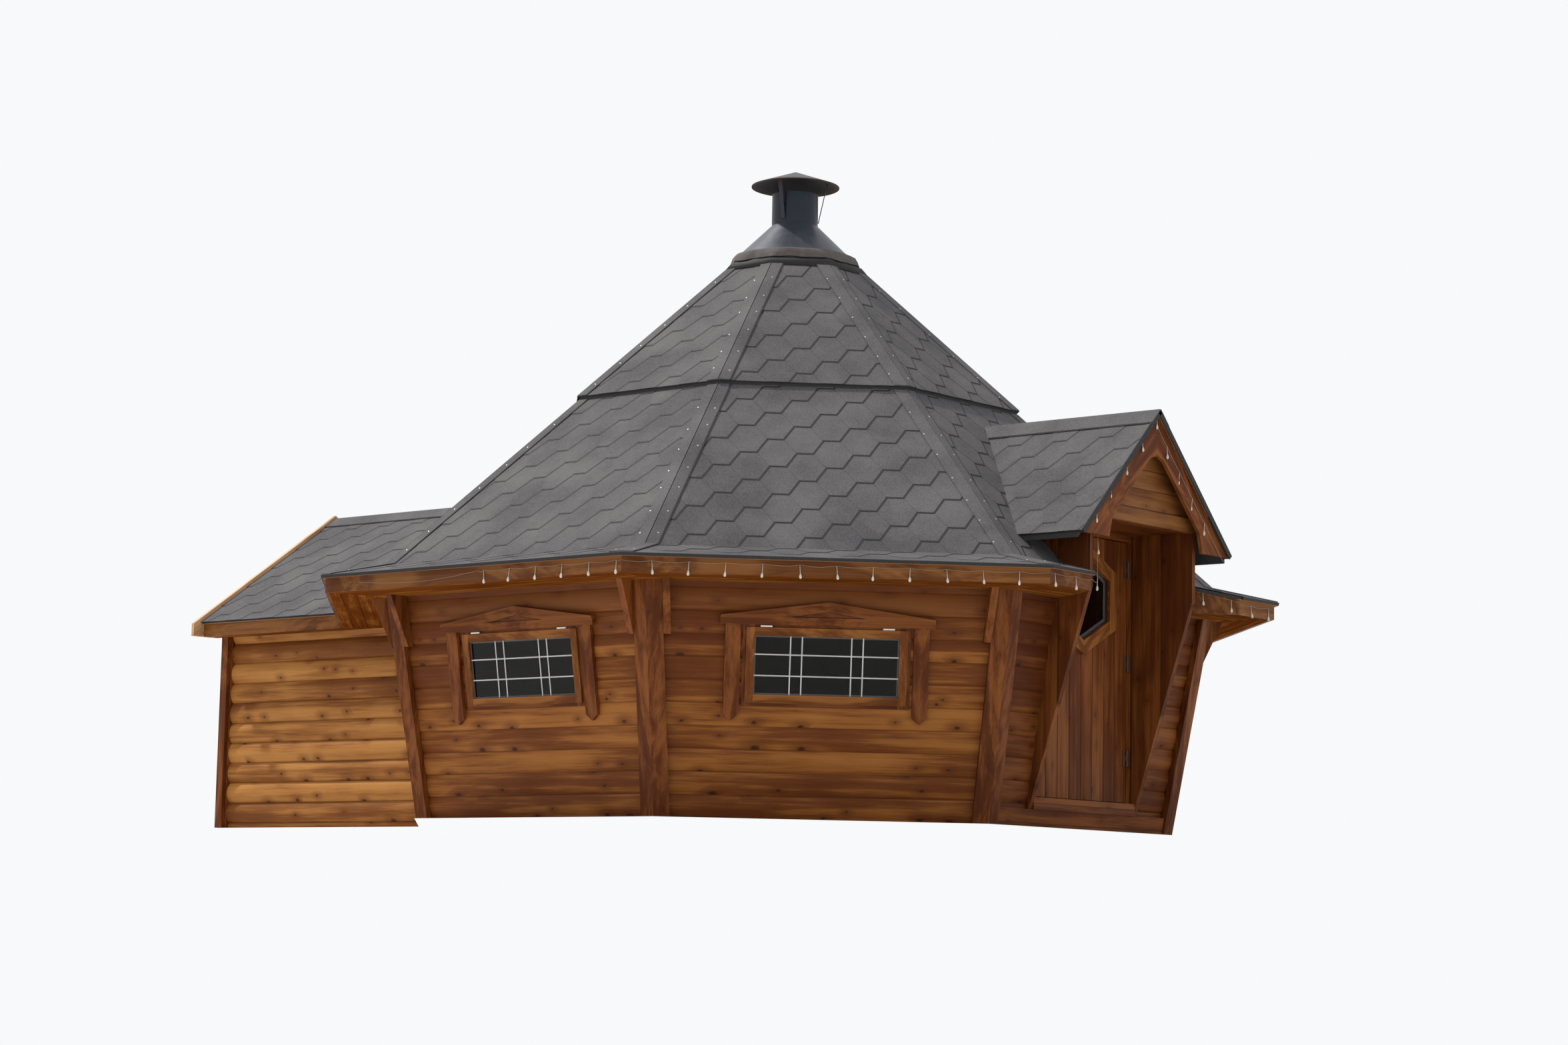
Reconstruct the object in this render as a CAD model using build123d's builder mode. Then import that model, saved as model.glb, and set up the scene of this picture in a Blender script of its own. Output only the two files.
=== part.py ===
from build123d import *
import os
from math import cos, hypot, radians, sin, tan

# Octagonal garden cabin of round-faced logs. The walls lean outwards under a steep two-stage roof
# with a flared eave. A gabled porch covers the upright door at the front, and a gabled annex
# stands on the opposite side. All sizes are in millimetres. The origin is at the centre of the
# octagon on the ground, the door faces -Y and the annex lies towards +Y.

# Main walls
SIDES = 8
WALL_APOTHEM = 2180.0
WALL_LEAN = 9.4
WALL_THICKNESS = 45.0
LOG_COURSE = 124.0
LOG_BULGE = 11.0
SEAT = 0.3

# Corner boards and eave brackets
CORNER_BOARD_WIDTH = 76.0
CORNER_BOARD_THICKNESS = 36.0
BRACKET_REACH = 125.0
BRACKET_DROP = 290.0
BRACKET_TIP = 42.0
BRACKET_THICKNESS = 40.0

# Main roof
EAVE_OVERHANG = 610.0
EAVE_TOP = 1368.0
EAVE_EDGE = 18.0
EAVE_LIP = 18.0
FLARE_LENGTH = 360.0
FLARE_PITCH = 13.4
ROOF_PITCH = 44.2
ROOF_THICKNESS = 50.0
ROOF_FOOT_INSET = 5.0
BREAK_APOTHEM = 1327.0
BREAK_EDGE = 34.0
BREAK_OVERLAP = 87.0
BREAK_CLEARANCE = 3.0
SMOKE_HOLE_APOTHEM = 200.0
FASCIA_HEIGHT = 80.0
FASCIA_THICKNESS = 20.0
SOFFIT_THICKNESS = 18.0

# Chimney
COLLAR_APOTHEM = 400.0
COLLAR_TOP_APOTHEM = 230.0
COLLAR_THICKNESS = 16.0
CONE_RADIUS = 380.0
CONE_PITCH = 44.3
CONE_THICKNESS = 5.0
PIPE_RADIUS = 144.0
PIPE_THICKNESS = 4.0
PIPE_TAIL = 116.0
PIPE_RISE = 206.0
HAT_RADIUS = 275.0
HAT_LIFT = 54.0
HAT_RISE = 98.0
HAT_THICKNESS = 5.0
STRUT_AZIMUTH = 40.0
STRUT_COUNT = 3
STRUT_WIDTH = 28.0
STRUT_THICKNESS = 5.0
STRUT_DROP = 200.0
STRUT_HEAD_RADIUS = 196.0

# Windows
WINDOW_WIDTH = 885.0
WINDOW_HEIGHT = 413.0
WINDOW_CENTRE = 840.0
SASH_BORDER = 46.0
SASH_THICKNESS = 40.0
SASH_PROUD = 12.0
SASH_GAP = 0.3
LINING = 18.0
GLASS_THICKNESS = 6.0
CASING_THICKNESS = 22.0
CASING_WIDTH = 84.0
CASING_GAP = 14.0
CASING_BOTTOM = 535.0
CASING_POINT = 34.0
HEAD_BOTTOM = 1062.0
HEAD_THICKNESS = 30.0
HEAD_HALF = 588.0
HEAD_END = 50.0
HEAD_RISE = 82.0
HEAD_RELIEF_HALF = 215.0
HEAD_RELIEF_BOTTOM = 44.0
HEAD_RELIEF_DEPTH = 7.0
HEAD_RELIEF_HEIGHT = 34.0

# Doorway and porch
DOORWAY_HALF = 506.0
CHEEK_THICKNESS = 32.0
PORCH_DEPTH = 421.0
CHEEK_KNEE = 1327.0
CHEEK_INSET = 130.0
PLINTH_TOP = 95.0
SILL_TOP = 165.0
SILL_PROUD = 36.0
PLINTH_THICKNESS = 24.0
JAMB_WIDTH = 40.0
FRAME_PROUD = 10.0
FRAME_DEPTH = 80.0
FRAME_HEAD = 1692.0
FRAME_TOP = 1730.0
STOP_WIDTH = 16.0
CEILING_THICKNESS = 16.0
PORCH_RIDGE = 2364.0
PORCH_EAVE_HALF = 752.0
PORCH_PITCH = 45.0
PORCH_THICKNESS = 30.0
PORCH_EDGE = 12.0
PORCH_OVERHANG = 101.0
NOTCH_DEPTH = 283.0
GABLE_THICKNESS = 28.0
GABLE_BOTTOM = 1722.0
BARGE_THICKNESS = 22.0
BARGE_FOOT = 1600.0
BARGE_WIDTH = 132.0
BARGE_ARCH = 133.0
BARGE_FOOT_HALF = 478.0
BARGE_KNEE = 1712.0
BARGE_LIP = 13.0
BEAM_HEIGHT = 82.0
BEAM_PROUD = 12.0

# Door
DOOR_THICKNESS = 40.0
DOOR_BOTTOM_GAP = 6.0
DOOR_TOP_GAP = 6.0
DOOR_HINGE_GAP = 6.0
DOOR_LATCH_GAP = 7.0
HINGE_RADIUS = 6.5
HINGE_LENGTH = 96.0
HINGE_STANDOFF = 8.0
HINGE_PLATE = 36.0
GROOVE_SPACING = 115.0
GROOVE_COUNT = 7
GROOVE_DEPTH = 4.0
HINGE_HEIGHTS = (380.0, 930.0, 1480.0)
HEX_HALF = 262.0
HEX_SIDE = 232.0
HEX_POINT = 132.0
HEX_CENTRE = 1329.0
HEX_TRIM = 72.0
HEX_TRIM_THICKNESS = 18.0
HANDLE_HEIGHT = 900.0
HANDLE_INSET = 62.0
HANDLE_PLATE = (38.0, 190.0, 6.0)
HANDLE_CORNER = 12.0
HANDLE_STEM = 36.0
HANDLE_RADIUS = 8.0
HANDLE_LENGTH = 112.0

# Floor
FLOOR_TOP = 140.0
FLOOR_THICKNESS = 28.0
BEARER_WIDTH = 70.0
BEARER_SPACING = 680.0
BEARER_CLEARANCE = 4.0

# Annex
ANNEX_HALF = 1030.0
ANNEX_END = 3996.0
ANNEX_WALL = 45.0
ANNEX_COURSE = 132.0
ANNEX_FIRST_JOINT = 33.0
ANNEX_BULGE = 26.0
ANNEX_EAVE_OVERHANG = 136.0
ANNEX_EAVE_TOP = 1369.0
ANNEX_PITCH = 34.8
ANNEX_ROOF_THICKNESS = 40.0
ANNEX_OVERHANG = 114.0
VERGE_THICKNESS = 24.0
VERGE_WIDTH = 160.0
VERGE_RISE = 32.0
VERGE_OVERHANG = 69.0
ANNEX_BOARD_WIDTH = 62.0
ANNEX_BOARD_THICKNESS = 30.0

# Walls by name, with their azimuth and whether they have a window
WALLS = {
    "front_left_wall": (-45, True),
    "left_wall": (-90, True),
    "back_left_wall": (-135, False),
    "front_right_wall": (45, True),
    "right_wall": (90, True),
    "back_right_wall": (135, False),
}
WINDOW_SIDES = [azimuth for azimuth, windowed in WALLS.values() if windowed]
ROOF_SIDES = {
    "roof_front_left": -45,
    "roof_left": -90,
    "roof_back_left": -135,
    "roof_front_right": 45,
    "roof_right": 90,
    "roof_back_right": 135,
}

# Sizes worked out from those above
HALF_ANGLE = 180.0 / SIDES
HALF_RATE = tan(radians(HALF_ANGLE))
TURN_COS = cos(radians(2 * HALF_ANGLE))
LEAN_RATE = tan(radians(WALL_LEAN))
PITCH_RATE = tan(radians(ROOF_PITCH))
FLARE_RATE = tan(radians(FLARE_PITCH))
PORCH_RATE = tan(radians(PORCH_PITCH))
ANNEX_RATE = tan(radians(ANNEX_PITCH))
EAVE_APOTHEM = WALL_APOTHEM + EAVE_OVERHANG
KNEE_APOTHEM = EAVE_APOTHEM - FLARE_LENGTH
KNEE_TOP = EAVE_TOP + FLARE_LENGTH * FLARE_RATE
ROOF_DROP = ROOF_THICKNESS / cos(radians(ROOF_PITCH))
ROOF_FOOT = KNEE_APOTHEM - ROOF_FOOT_INSET
FASCIA_FACE = EAVE_APOTHEM - EAVE_LIP
FASCIA_BACK = FASCIA_FACE - FASCIA_THICKNESS
FASCIA_TOP = EAVE_TOP - EAVE_EDGE - SEAT
FASCIA_BOTTOM = FASCIA_TOP - FASCIA_HEIGHT
SOFFIT_BOTTOM = FASCIA_BOTTOM
SOFFIT_TOP = SOFFIT_BOTTOM + SOFFIT_THICKNESS
RING_IN = BREAK_APOTHEM - BREAK_OVERLAP
OPENING_WIDTH = WINDOW_WIDTH + 2 * (SASH_GAP + LINING)
OPENING_HEIGHT = WINDOW_HEIGHT + 2 * (SASH_GAP + LINING)
FRAME_FRONT = WALL_APOTHEM + FRAME_PROUD
FRAME_BACK = FRAME_FRONT - FRAME_DEPTH
SILL_FRONT = FRAME_FRONT + SILL_PROUD
CHEEK_OUTER = DOORWAY_HALF + CHEEK_THICKNESS
CHEEK_BACK = WALL_APOTHEM - CHEEK_INSET
CHEEK_REACH = FRAME_FRONT + PORCH_DEPTH
PORCH_FRONT = CHEEK_REACH + PORCH_OVERHANG
PORCH_DROP = PORCH_THICKNESS / cos(radians(PORCH_PITCH))
PORCH_EAVE_TOP = PORCH_RIDGE - PORCH_EAVE_HALF * PORCH_RATE
NOTCH_RATE = (PORCH_EAVE_HALF - CHEEK_OUTER - SEAT) / NOTCH_DEPTH
ANNEX_EAVE_HALF = ANNEX_HALF + ANNEX_EAVE_OVERHANG
VERGE_HALF = ANNEX_EAVE_HALF + VERGE_OVERHANG
ANNEX_RIDGE = ANNEX_EAVE_TOP + ANNEX_EAVE_HALF * ANNEX_RATE
ANNEX_DROP = ANNEX_ROOF_THICKNESS / cos(radians(ANNEX_PITCH))
ANNEX_INNER = ANNEX_HALF - ANNEX_WALL
ANNEX_ROOF_END = ANNEX_END + ANNEX_OVERHANG
ANNEX_FASCIA_FACE = ANNEX_EAVE_HALF - EAVE_LIP
ANNEX_FASCIA_BACK = ANNEX_FASCIA_FACE - FASCIA_THICKNESS
FAR = 6000.0


def outward(azimuth):
    """Level direction out of the side at this azimuth, 0 being the door side."""
    return Vector(sin(radians(azimuth)), -cos(radians(azimuth)), 0)


def sideways(azimuth):
    """Level direction to the right along a side, seen from outside."""
    return Vector(cos(radians(azimuth)), sin(radians(azimuth)), 0)


def section_plane(azimuth):
    """Upright plane across a side: x is the distance out from the centre, y is the height."""
    return Plane(origin=(0, 0, 0), x_dir=outward(azimuth), z_dir=-sideways(azimuth))


def mitre_plane(azimuth):
    """Upright plane through the centre and a corner, its front towards larger azimuths."""
    return Plane(origin=(0, 0, 0), x_dir=outward(azimuth), z_dir=sideways(azimuth))


def wall_plane(azimuth, proud=0.0):
    """Plane on the leaning log face: x to the right, y up the slope, z out of the wall."""
    face = outward(azimuth)
    normal = face * cos(radians(WALL_LEAN)) - Vector(0, 0, sin(radians(WALL_LEAN)))
    return Plane(origin=face * WALL_APOTHEM + normal * proud, x_dir=sideways(azimuth), z_dir=normal)


def roof_plane(azimuth, lift):
    """Plane parallel to the lower roof's top face on one side, raised by a height."""
    face = outward(azimuth)
    normal = face * sin(radians(ROOF_PITCH)) + Vector(0, 0, cos(radians(ROOF_PITCH)))
    return Plane(origin=face * KNEE_APOTHEM + Vector(0, 0, KNEE_TOP + lift), z_dir=normal)


def roof_top(apothem):
    """Height of the lower roof's top face."""
    return KNEE_TOP + (KNEE_APOTHEM - apothem) * PITCH_RATE


def flare_under(apothem):
    """Height of the underside of the flared eave."""
    return EAVE_TOP - EAVE_EDGE + (EAVE_APOTHEM - apothem) * FLARE_RATE


def upper_top(apothem):
    """Height of the upper roof stage's top face."""
    return roof_top(apothem) + SEAT + BREAK_EDGE


def collar_top(apothem):
    """Height of the top face of the collar on the upper roof."""
    return upper_top(apothem) + SEAT + COLLAR_THICKNESS


def octagon(apothem):
    """Corners of an octagon whose flat sides face the main directions."""
    radius = apothem / cos(radians(HALF_ANGLE))
    turn = 360.0 / SIDES
    return [tuple(outward(turn * n + HALF_ANGLE) * radius)[:2] for n in range(SIDES)]


def save(piece, name):
    """Label a finished piece and write it."""
    piece.part.label = name
    export_step(piece.part, f"parts/{name}.step")


def mitred_side(azimuth, *points, gap=0.0):
    """An upright section run along one side of the octagon, mitred at its corners less a gap."""
    with BuildPart() as side:
        with BuildSketch(section_plane(azimuth)):
            Polygon(*points, align=None)
        extrude(amount=FAR, both=True)
        split(bisect_by=mitre_plane(azimuth - HALF_ANGLE).offset(gap / 2), keep=Keep.TOP)
        split(bisect_by=mitre_plane(azimuth + HALF_ANGLE).offset(-gap / 2), keep=Keep.BOTTOM)
    return side.part


def along_gable(start, end, *points):
    """A section in X and height run along Y from start to end."""
    with BuildPart() as run:
        with BuildSketch(Plane.XZ.offset(-start)):
            Polygon(*points, align=None)
        extrude(amount=start - end)
    return run.part


def under_roof_block(azimuth, flared):
    """Everything below the lower roof's top face on one side, used for cutting."""
    if flared:
        edge = EAVE_APOTHEM + SEAT
        return mitred_side(azimuth, (0, 0), (edge, 0), (edge, EAVE_TOP + SEAT),
                           (KNEE_APOTHEM, KNEE_TOP + SEAT), (0, roof_top(0) + SEAT))
    foot = KNEE_APOTHEM + KNEE_TOP / PITCH_RATE
    return mitred_side(azimuth, (0, 0), (foot, SEAT), (0, roof_top(0) + SEAT))


def eave_block(azimuth):
    """Everything above the soffit and the underside of the roof on one side, used for cutting."""
    wall_face = WALL_APOTHEM + SOFFIT_BOTTOM * LEAN_RATE
    low = SOFFIT_BOTTOM - SEAT
    under = ROOF_DROP + SEAT
    return mitred_side(azimuth, (EAVE_APOTHEM + SEAT, low), (wall_face, low),
                       (ROOF_FOOT, roof_top(ROOF_FOOT) - under), (0, roof_top(0) - under),
                       (0, FAR), (EAVE_APOTHEM + SEAT, FAR))


def notch_edge(set_back, distance):
    """Edge in plan of the porch's notch in the eaves, from the cheek to a distance out."""
    shift = set_back * hypot(1, NOTCH_RATE)
    start = EAVE_APOTHEM - NOTCH_DEPTH - shift / NOTCH_RATE
    wide = PORCH_EAVE_HALF + (distance - EAVE_APOTHEM) * NOTCH_RATE + shift
    return [(CHEEK_OUTER + SEAT, -start), (wide, -distance)]


def porch_notch(set_back):
    """Space kept free between and in front of the porch cheeks, used for cutting the eaves."""
    near, far = notch_edge(set_back, FAR)
    with BuildPart() as notch:
        with BuildSketch():
            Polygon((-near[0], 0), (near[0], 0), near, far, (-far[0], far[1]), (-near[0], near[1]),
                    align=None)
        extrude(amount=KNEE_TOP + SEAT)
    return notch.part


def log_points(face, rate, course, bulge, first, height):
    """Ends and crowns of the stacked round log faces, as (out, up) pairs."""
    points = []
    low = 0.0
    high = first if first > 0 else course
    while low < height:
        middle = (low + high) / 2
        swell = bulge if high - low > course / 2 else bulge * (high - low) / course
        points.append(((face - bulge + low * rate, low), (face - bulge + swell + middle * rate, middle),
                       (face - bulge + high * rate, high)))
        low = high
        high = low + course
    return points


def octagon_wall(azimuth):
    """Leaning panel of stacked logs, mitred at both corners and cut under the roof."""
    arcs = log_points(WALL_APOTHEM, LEAN_RATE, LOG_COURSE, LOG_BULGE, 0, EAVE_TOP + 2 * ROOF_DROP)
    back = WALL_APOTHEM - WALL_THICKNESS
    top = arcs[-1][2]
    with BuildPart() as wall:
        with BuildSketch(section_plane(azimuth)):
            with BuildLine():
                for arc in arcs:
                    ThreePointArc(*arc)
                Polyline(top, (back + top[1] * LEAN_RATE, top[1]), (back, 0), arcs[0][0])
            make_face()
        extrude(amount=FAR, both=True)
        split(bisect_by=mitre_plane(azimuth - HALF_ANGLE), keep=Keep.TOP)
        split(bisect_by=mitre_plane(azimuth + HALF_ANGLE), keep=Keep.BOTTOM)
        split(bisect_by=roof_plane(azimuth, -ROOF_DROP - SEAT), keep=Keep.BOTTOM)
    return wall.part


def make_walls():
    """Six whole wall panels, four of them with a window opening."""
    for name, (azimuth, windowed) in WALLS.items():
        with BuildPart() as wall:
            add(octagon_wall(azimuth))
            if windowed:
                with BuildSketch(wall_plane(azimuth)):
                    with Locations((0, WINDOW_CENTRE)):
                        Rectangle(OPENING_WIDTH, OPENING_HEIGHT)
                extrude(amount=2 * WALL_THICKNESS, both=True, mode=Mode.SUBTRACT)
        save(wall, name)


def make_door_walls():
    """The door side is split into a panel on each side of the porch cheeks."""
    for name, side in (("door_wall_left", -1), ("door_wall_right", 1)):
        beside = Plane(origin=(side * (CHEEK_OUTER + SEAT), 0, 0), z_dir=(side, 0, 0))
        with BuildPart() as wall:
            add(octagon_wall(0))
            split(bisect_by=beside, keep=Keep.TOP)
        save(wall, name)


def corner_edge(height):
    """Half width of a side at the corner boards' inner edges."""
    return (WALL_APOTHEM + height * LEAN_RATE) * HALF_RATE - CORNER_BOARD_WIDTH


def edge_strip(side, inner, outer):
    """Outline on the wall's face that follows the corner board's edge, between two distances from it."""
    low = -EAVE_TOP
    high = 2 * EAVE_TOP
    foot, head = [corner_edge(rise * cos(radians(WALL_LEAN))) for rise in (low, high)]
    return [(side * (foot + inner), low), (side * (foot + outer), low), (side * (head + outer), high),
            (side * (head + inner), high)]


def corner_board(corner, side):
    """One of the two boards at a corner, on the side before or after it."""
    azimuth = corner - side * HALF_ANGLE
    with BuildPart() as board:
        with BuildSketch(wall_plane(azimuth, SEAT)):
            Polygon(*edge_strip(side, 0, FAR), align=None)
        extrude(amount=CORNER_BOARD_THICKNESS)
        split(bisect_by=mitre_plane(corner), keep=Keep.BOTTOM if side > 0 else Keep.TOP)
        split(bisect_by=Plane.XY, keep=Keep.TOP)
        split(bisect_by=Plane.XY.offset(SOFFIT_BOTTOM - SEAT), keep=Keep.BOTTOM)
    return board.part


def make_corner_boards():
    """Pairs of boards over the mitred corners, and an angle of boards at each annex corner."""
    corners = [turn * 2 * HALF_ANGLE + HALF_ANGLE for turn in (-3, -2, -1, 0, 1, 2)]
    inner = ANNEX_HALF + ANNEX_BOARD_THICKNESS - ANNEX_BOARD_WIDTH
    outer = ANNEX_HALF + ANNEX_BOARD_THICKNESS
    front = ANNEX_END + ANNEX_BOARD_THICKNESS - ANNEX_BOARD_WIDTH
    back = ANNEX_END + ANNEX_BOARD_THICKNESS
    with BuildPart() as boards:
        for corner in corners:
            for side in (-1, 1):
                add(corner_board(corner, side))
        with BuildSketch():
            for side in (-1, 1):
                Polygon((side * inner, back), (side * outer, back), (side * outer, front),
                        (side * (ANNEX_HALF + SEAT), front), (side * (ANNEX_HALF + SEAT), ANNEX_END + SEAT),
                        (side * inner, ANNEX_END + SEAT), align=None)
        extrude(amount=SOFFIT_BOTTOM - SEAT)
    save(boards, "corner_boards")


def bracket(azimuth, side):
    """Small tapered bracket that leans with the corner board beside it, under the soffit."""
    high = SOFFIT_BOTTOM - SEAT
    low = high - BRACKET_DROP
    foot = WALL_APOTHEM + low * LEAN_RATE + SEAT
    head = WALL_APOTHEM + high * LEAN_RATE + SEAT
    with BuildPart() as piece:
        with BuildSketch(section_plane(azimuth)):
            Polygon((foot, low), (head, high), (head + BRACKET_REACH, high), (foot + BRACKET_TIP, low),
                    align=None)
        extrude(amount=FAR, both=True)
        with BuildSketch(wall_plane(azimuth)):
            Polygon(*edge_strip(side, -SEAT - BRACKET_THICKNESS, -SEAT), align=None)
        extrude(amount=FAR, both=True, mode=Mode.INTERSECT)
    return piece.part


def porch_return(side):
    """Fascia board that closes the end of the eave beside the porch, up to the flare's underside."""
    outer = notch_edge(EAVE_LIP, FASCIA_FACE)
    inner = notch_edge(EAVE_LIP + FASCIA_THICKNESS, FASCIA_FACE)
    under_flare = Plane(origin=(0, -EAVE_APOTHEM, FASCIA_TOP),
                        z_dir=(0, -sin(radians(FLARE_PITCH)), cos(radians(FLARE_PITCH))))
    with BuildPart() as board:
        with BuildSketch(Plane.XY.offset(FASCIA_BOTTOM)):
            Polygon(*[(side * x, y) for x, y in (*outer, inner[1], inner[0])], align=None)
        extrude(amount=KNEE_TOP - FASCIA_BOTTOM)
        split(bisect_by=under_flare, keep=Keep.BOTTOM)
    return board.part


def make_eaves():
    """Brackets, fascia and soffit under the flared eave and along the annex."""
    with BuildPart() as brackets:
        for azimuth in (-90, -45, 45, 90):
            for side in (-1, 1):
                add(bracket(azimuth, side))
        add(bracket(-135, 1))
        add(bracket(135, -1))
    save(brackets, "eave_brackets")

    wall_face = WALL_APOTHEM + SOFFIT_TOP * LEAN_RATE + SEAT
    main_sides = (-135, -90, -45, 0, 45, 90, 135)
    fascia_top = [flare_under(r) - SEAT for r in (FASCIA_BACK, FASCIA_FACE)]
    hip_start = ANNEX_FASCIA_FACE / HALF_RATE + SEAT
    annex_under = [ANNEX_EAVE_TOP - EAVE_EDGE - SEAT + (ANNEX_EAVE_HALF - x) * ANNEX_RATE
                   for x in (ANNEX_FASCIA_BACK, ANNEX_FASCIA_FACE)]
    with BuildPart() as fascia:
        for azimuth in main_sides:
            add(mitred_side(azimuth, (FASCIA_BACK, FASCIA_BOTTOM), (FASCIA_FACE, FASCIA_BOTTOM),
                            (FASCIA_FACE, fascia_top[1]), (FASCIA_BACK, fascia_top[0]), gap=SEAT))
        add(porch_notch(EAVE_LIP), mode=Mode.SUBTRACT)
        for side in (-1, 1):
            add(porch_return(side))
            add(along_gable(hip_start, ANNEX_ROOF_END, (side * ANNEX_FASCIA_BACK, FASCIA_BOTTOM),
                            (side * ANNEX_FASCIA_FACE, FASCIA_BOTTOM),
                            (side * ANNEX_FASCIA_FACE, annex_under[1]),
                            (side * ANNEX_FASCIA_BACK, annex_under[0])))
    save(fascia, "eave_fascia")

    with BuildPart() as soffit:
        for azimuth in main_sides:
            add(mitred_side(azimuth, (wall_face, SOFFIT_BOTTOM), (FASCIA_BACK - SEAT, SOFFIT_BOTTOM),
                            (FASCIA_BACK - SEAT, SOFFIT_TOP), (wall_face, SOFFIT_TOP), gap=SEAT))
        add(porch_notch(EAVE_LIP + FASCIA_THICKNESS + SEAT), mode=Mode.SUBTRACT)
        with Locations((0, EAVE_APOTHEM, EAVE_TOP)):
            Box(2 * (ANNEX_HALF + SEAT), EAVE_APOTHEM, EAVE_TOP, mode=Mode.SUBTRACT)
        for side in (-1, 1):
            with BuildSketch(Plane.XY.offset(SOFFIT_BOTTOM)):
                near = side * (ANNEX_HALF + SEAT)
                far = side * (ANNEX_FASCIA_BACK - SEAT)
                Polygon((near, abs(near) / HALF_RATE + SEAT), (far, abs(far) / HALF_RATE + SEAT),
                        (far, ANNEX_ROOF_END), (near, ANNEX_ROOF_END), align=None)
            extrude(amount=SOFFIT_THICKNESS)
    save(soffit, "eave_soffit")


def make_lower_roof():
    """Eight roof panels with a flared foot, the front and back ones cut for the two gables."""
    panel = [(EAVE_APOTHEM, EAVE_TOP), (KNEE_APOTHEM, KNEE_TOP), (RING_IN, roof_top(RING_IN)),
             (RING_IN, roof_top(RING_IN) - ROOF_DROP), (ROOF_FOOT, roof_top(ROOF_FOOT) - ROOF_DROP),
             (ROOF_FOOT, flare_under(ROOF_FOOT)), (EAVE_APOTHEM, EAVE_TOP - EAVE_EDGE)]
    for name, azimuth in ROOF_SIDES.items():
        with BuildPart() as side:
            add(mitred_side(azimuth, *panel))
        save(side, name)

    half = CHEEK_OUTER + SEAT
    under = PORCH_RIDGE - PORCH_DROP
    with BuildPart() as front:
        add(mitred_side(0, *panel))
        add(along_gable(-FAR, 0, (-half, 0), (half, 0), (half, under - half * PORCH_RATE), (0, under),
                        (-half, under - half * PORCH_RATE)), mode=Mode.SUBTRACT)
        add(porch_notch(0), mode=Mode.SUBTRACT)
    save(front, "roof_front")

    low = ANNEX_EAVE_TOP - ANNEX_DROP
    foot = KNEE_APOTHEM + (KNEE_TOP - low) / PITCH_RATE
    wide = 2 * ANNEX_HALF
    under = ANNEX_RIDGE - ANNEX_DROP
    with BuildPart() as back:
        add(mitred_side(180, (foot, low), (RING_IN, roof_top(RING_IN)),
                        (RING_IN, roof_top(RING_IN) - ROOF_DROP), (foot, low - ROOF_DROP)))
        add(along_gable(0, FAR, (-wide, -FAR), (wide, -FAR), (wide, under - wide * ANNEX_RATE), (0, under),
                        (-wide, under - wide * ANNEX_RATE)), mode=Mode.SUBTRACT)
    save(back, "roof_back")


def make_upper_roof():
    """The steep upper stage that overlaps the lower one, and the collar at its top."""
    lap = RING_IN - BREAK_CLEARANCE
    with BuildPart() as stage:
        for turn in range(SIDES):
            add(mitred_side(turn * 2 * HALF_ANGLE, (BREAK_APOTHEM, roof_top(BREAK_APOTHEM) + SEAT),
                            (BREAK_APOTHEM, upper_top(BREAK_APOTHEM)),
                            (SMOKE_HOLE_APOTHEM, upper_top(SMOKE_HOLE_APOTHEM)),
                            (SMOKE_HOLE_APOTHEM, upper_top(SMOKE_HOLE_APOTHEM) - ROOF_DROP),
                            (lap, upper_top(lap) - ROOF_DROP), (lap, roof_top(lap) + SEAT), gap=SEAT))
    save(stage, "upper_roof")

    with BuildPart() as collar:
        for turn in range(SIDES):
            add(mitred_side(turn * 2 * HALF_ANGLE, (COLLAR_APOTHEM, upper_top(COLLAR_APOTHEM) + SEAT),
                            (COLLAR_APOTHEM, collar_top(COLLAR_APOTHEM)),
                            (COLLAR_TOP_APOTHEM, collar_top(COLLAR_TOP_APOTHEM)),
                            (COLLAR_TOP_APOTHEM, upper_top(COLLAR_TOP_APOTHEM) + SEAT), gap=SEAT))
    save(collar, "roof_collar")


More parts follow.
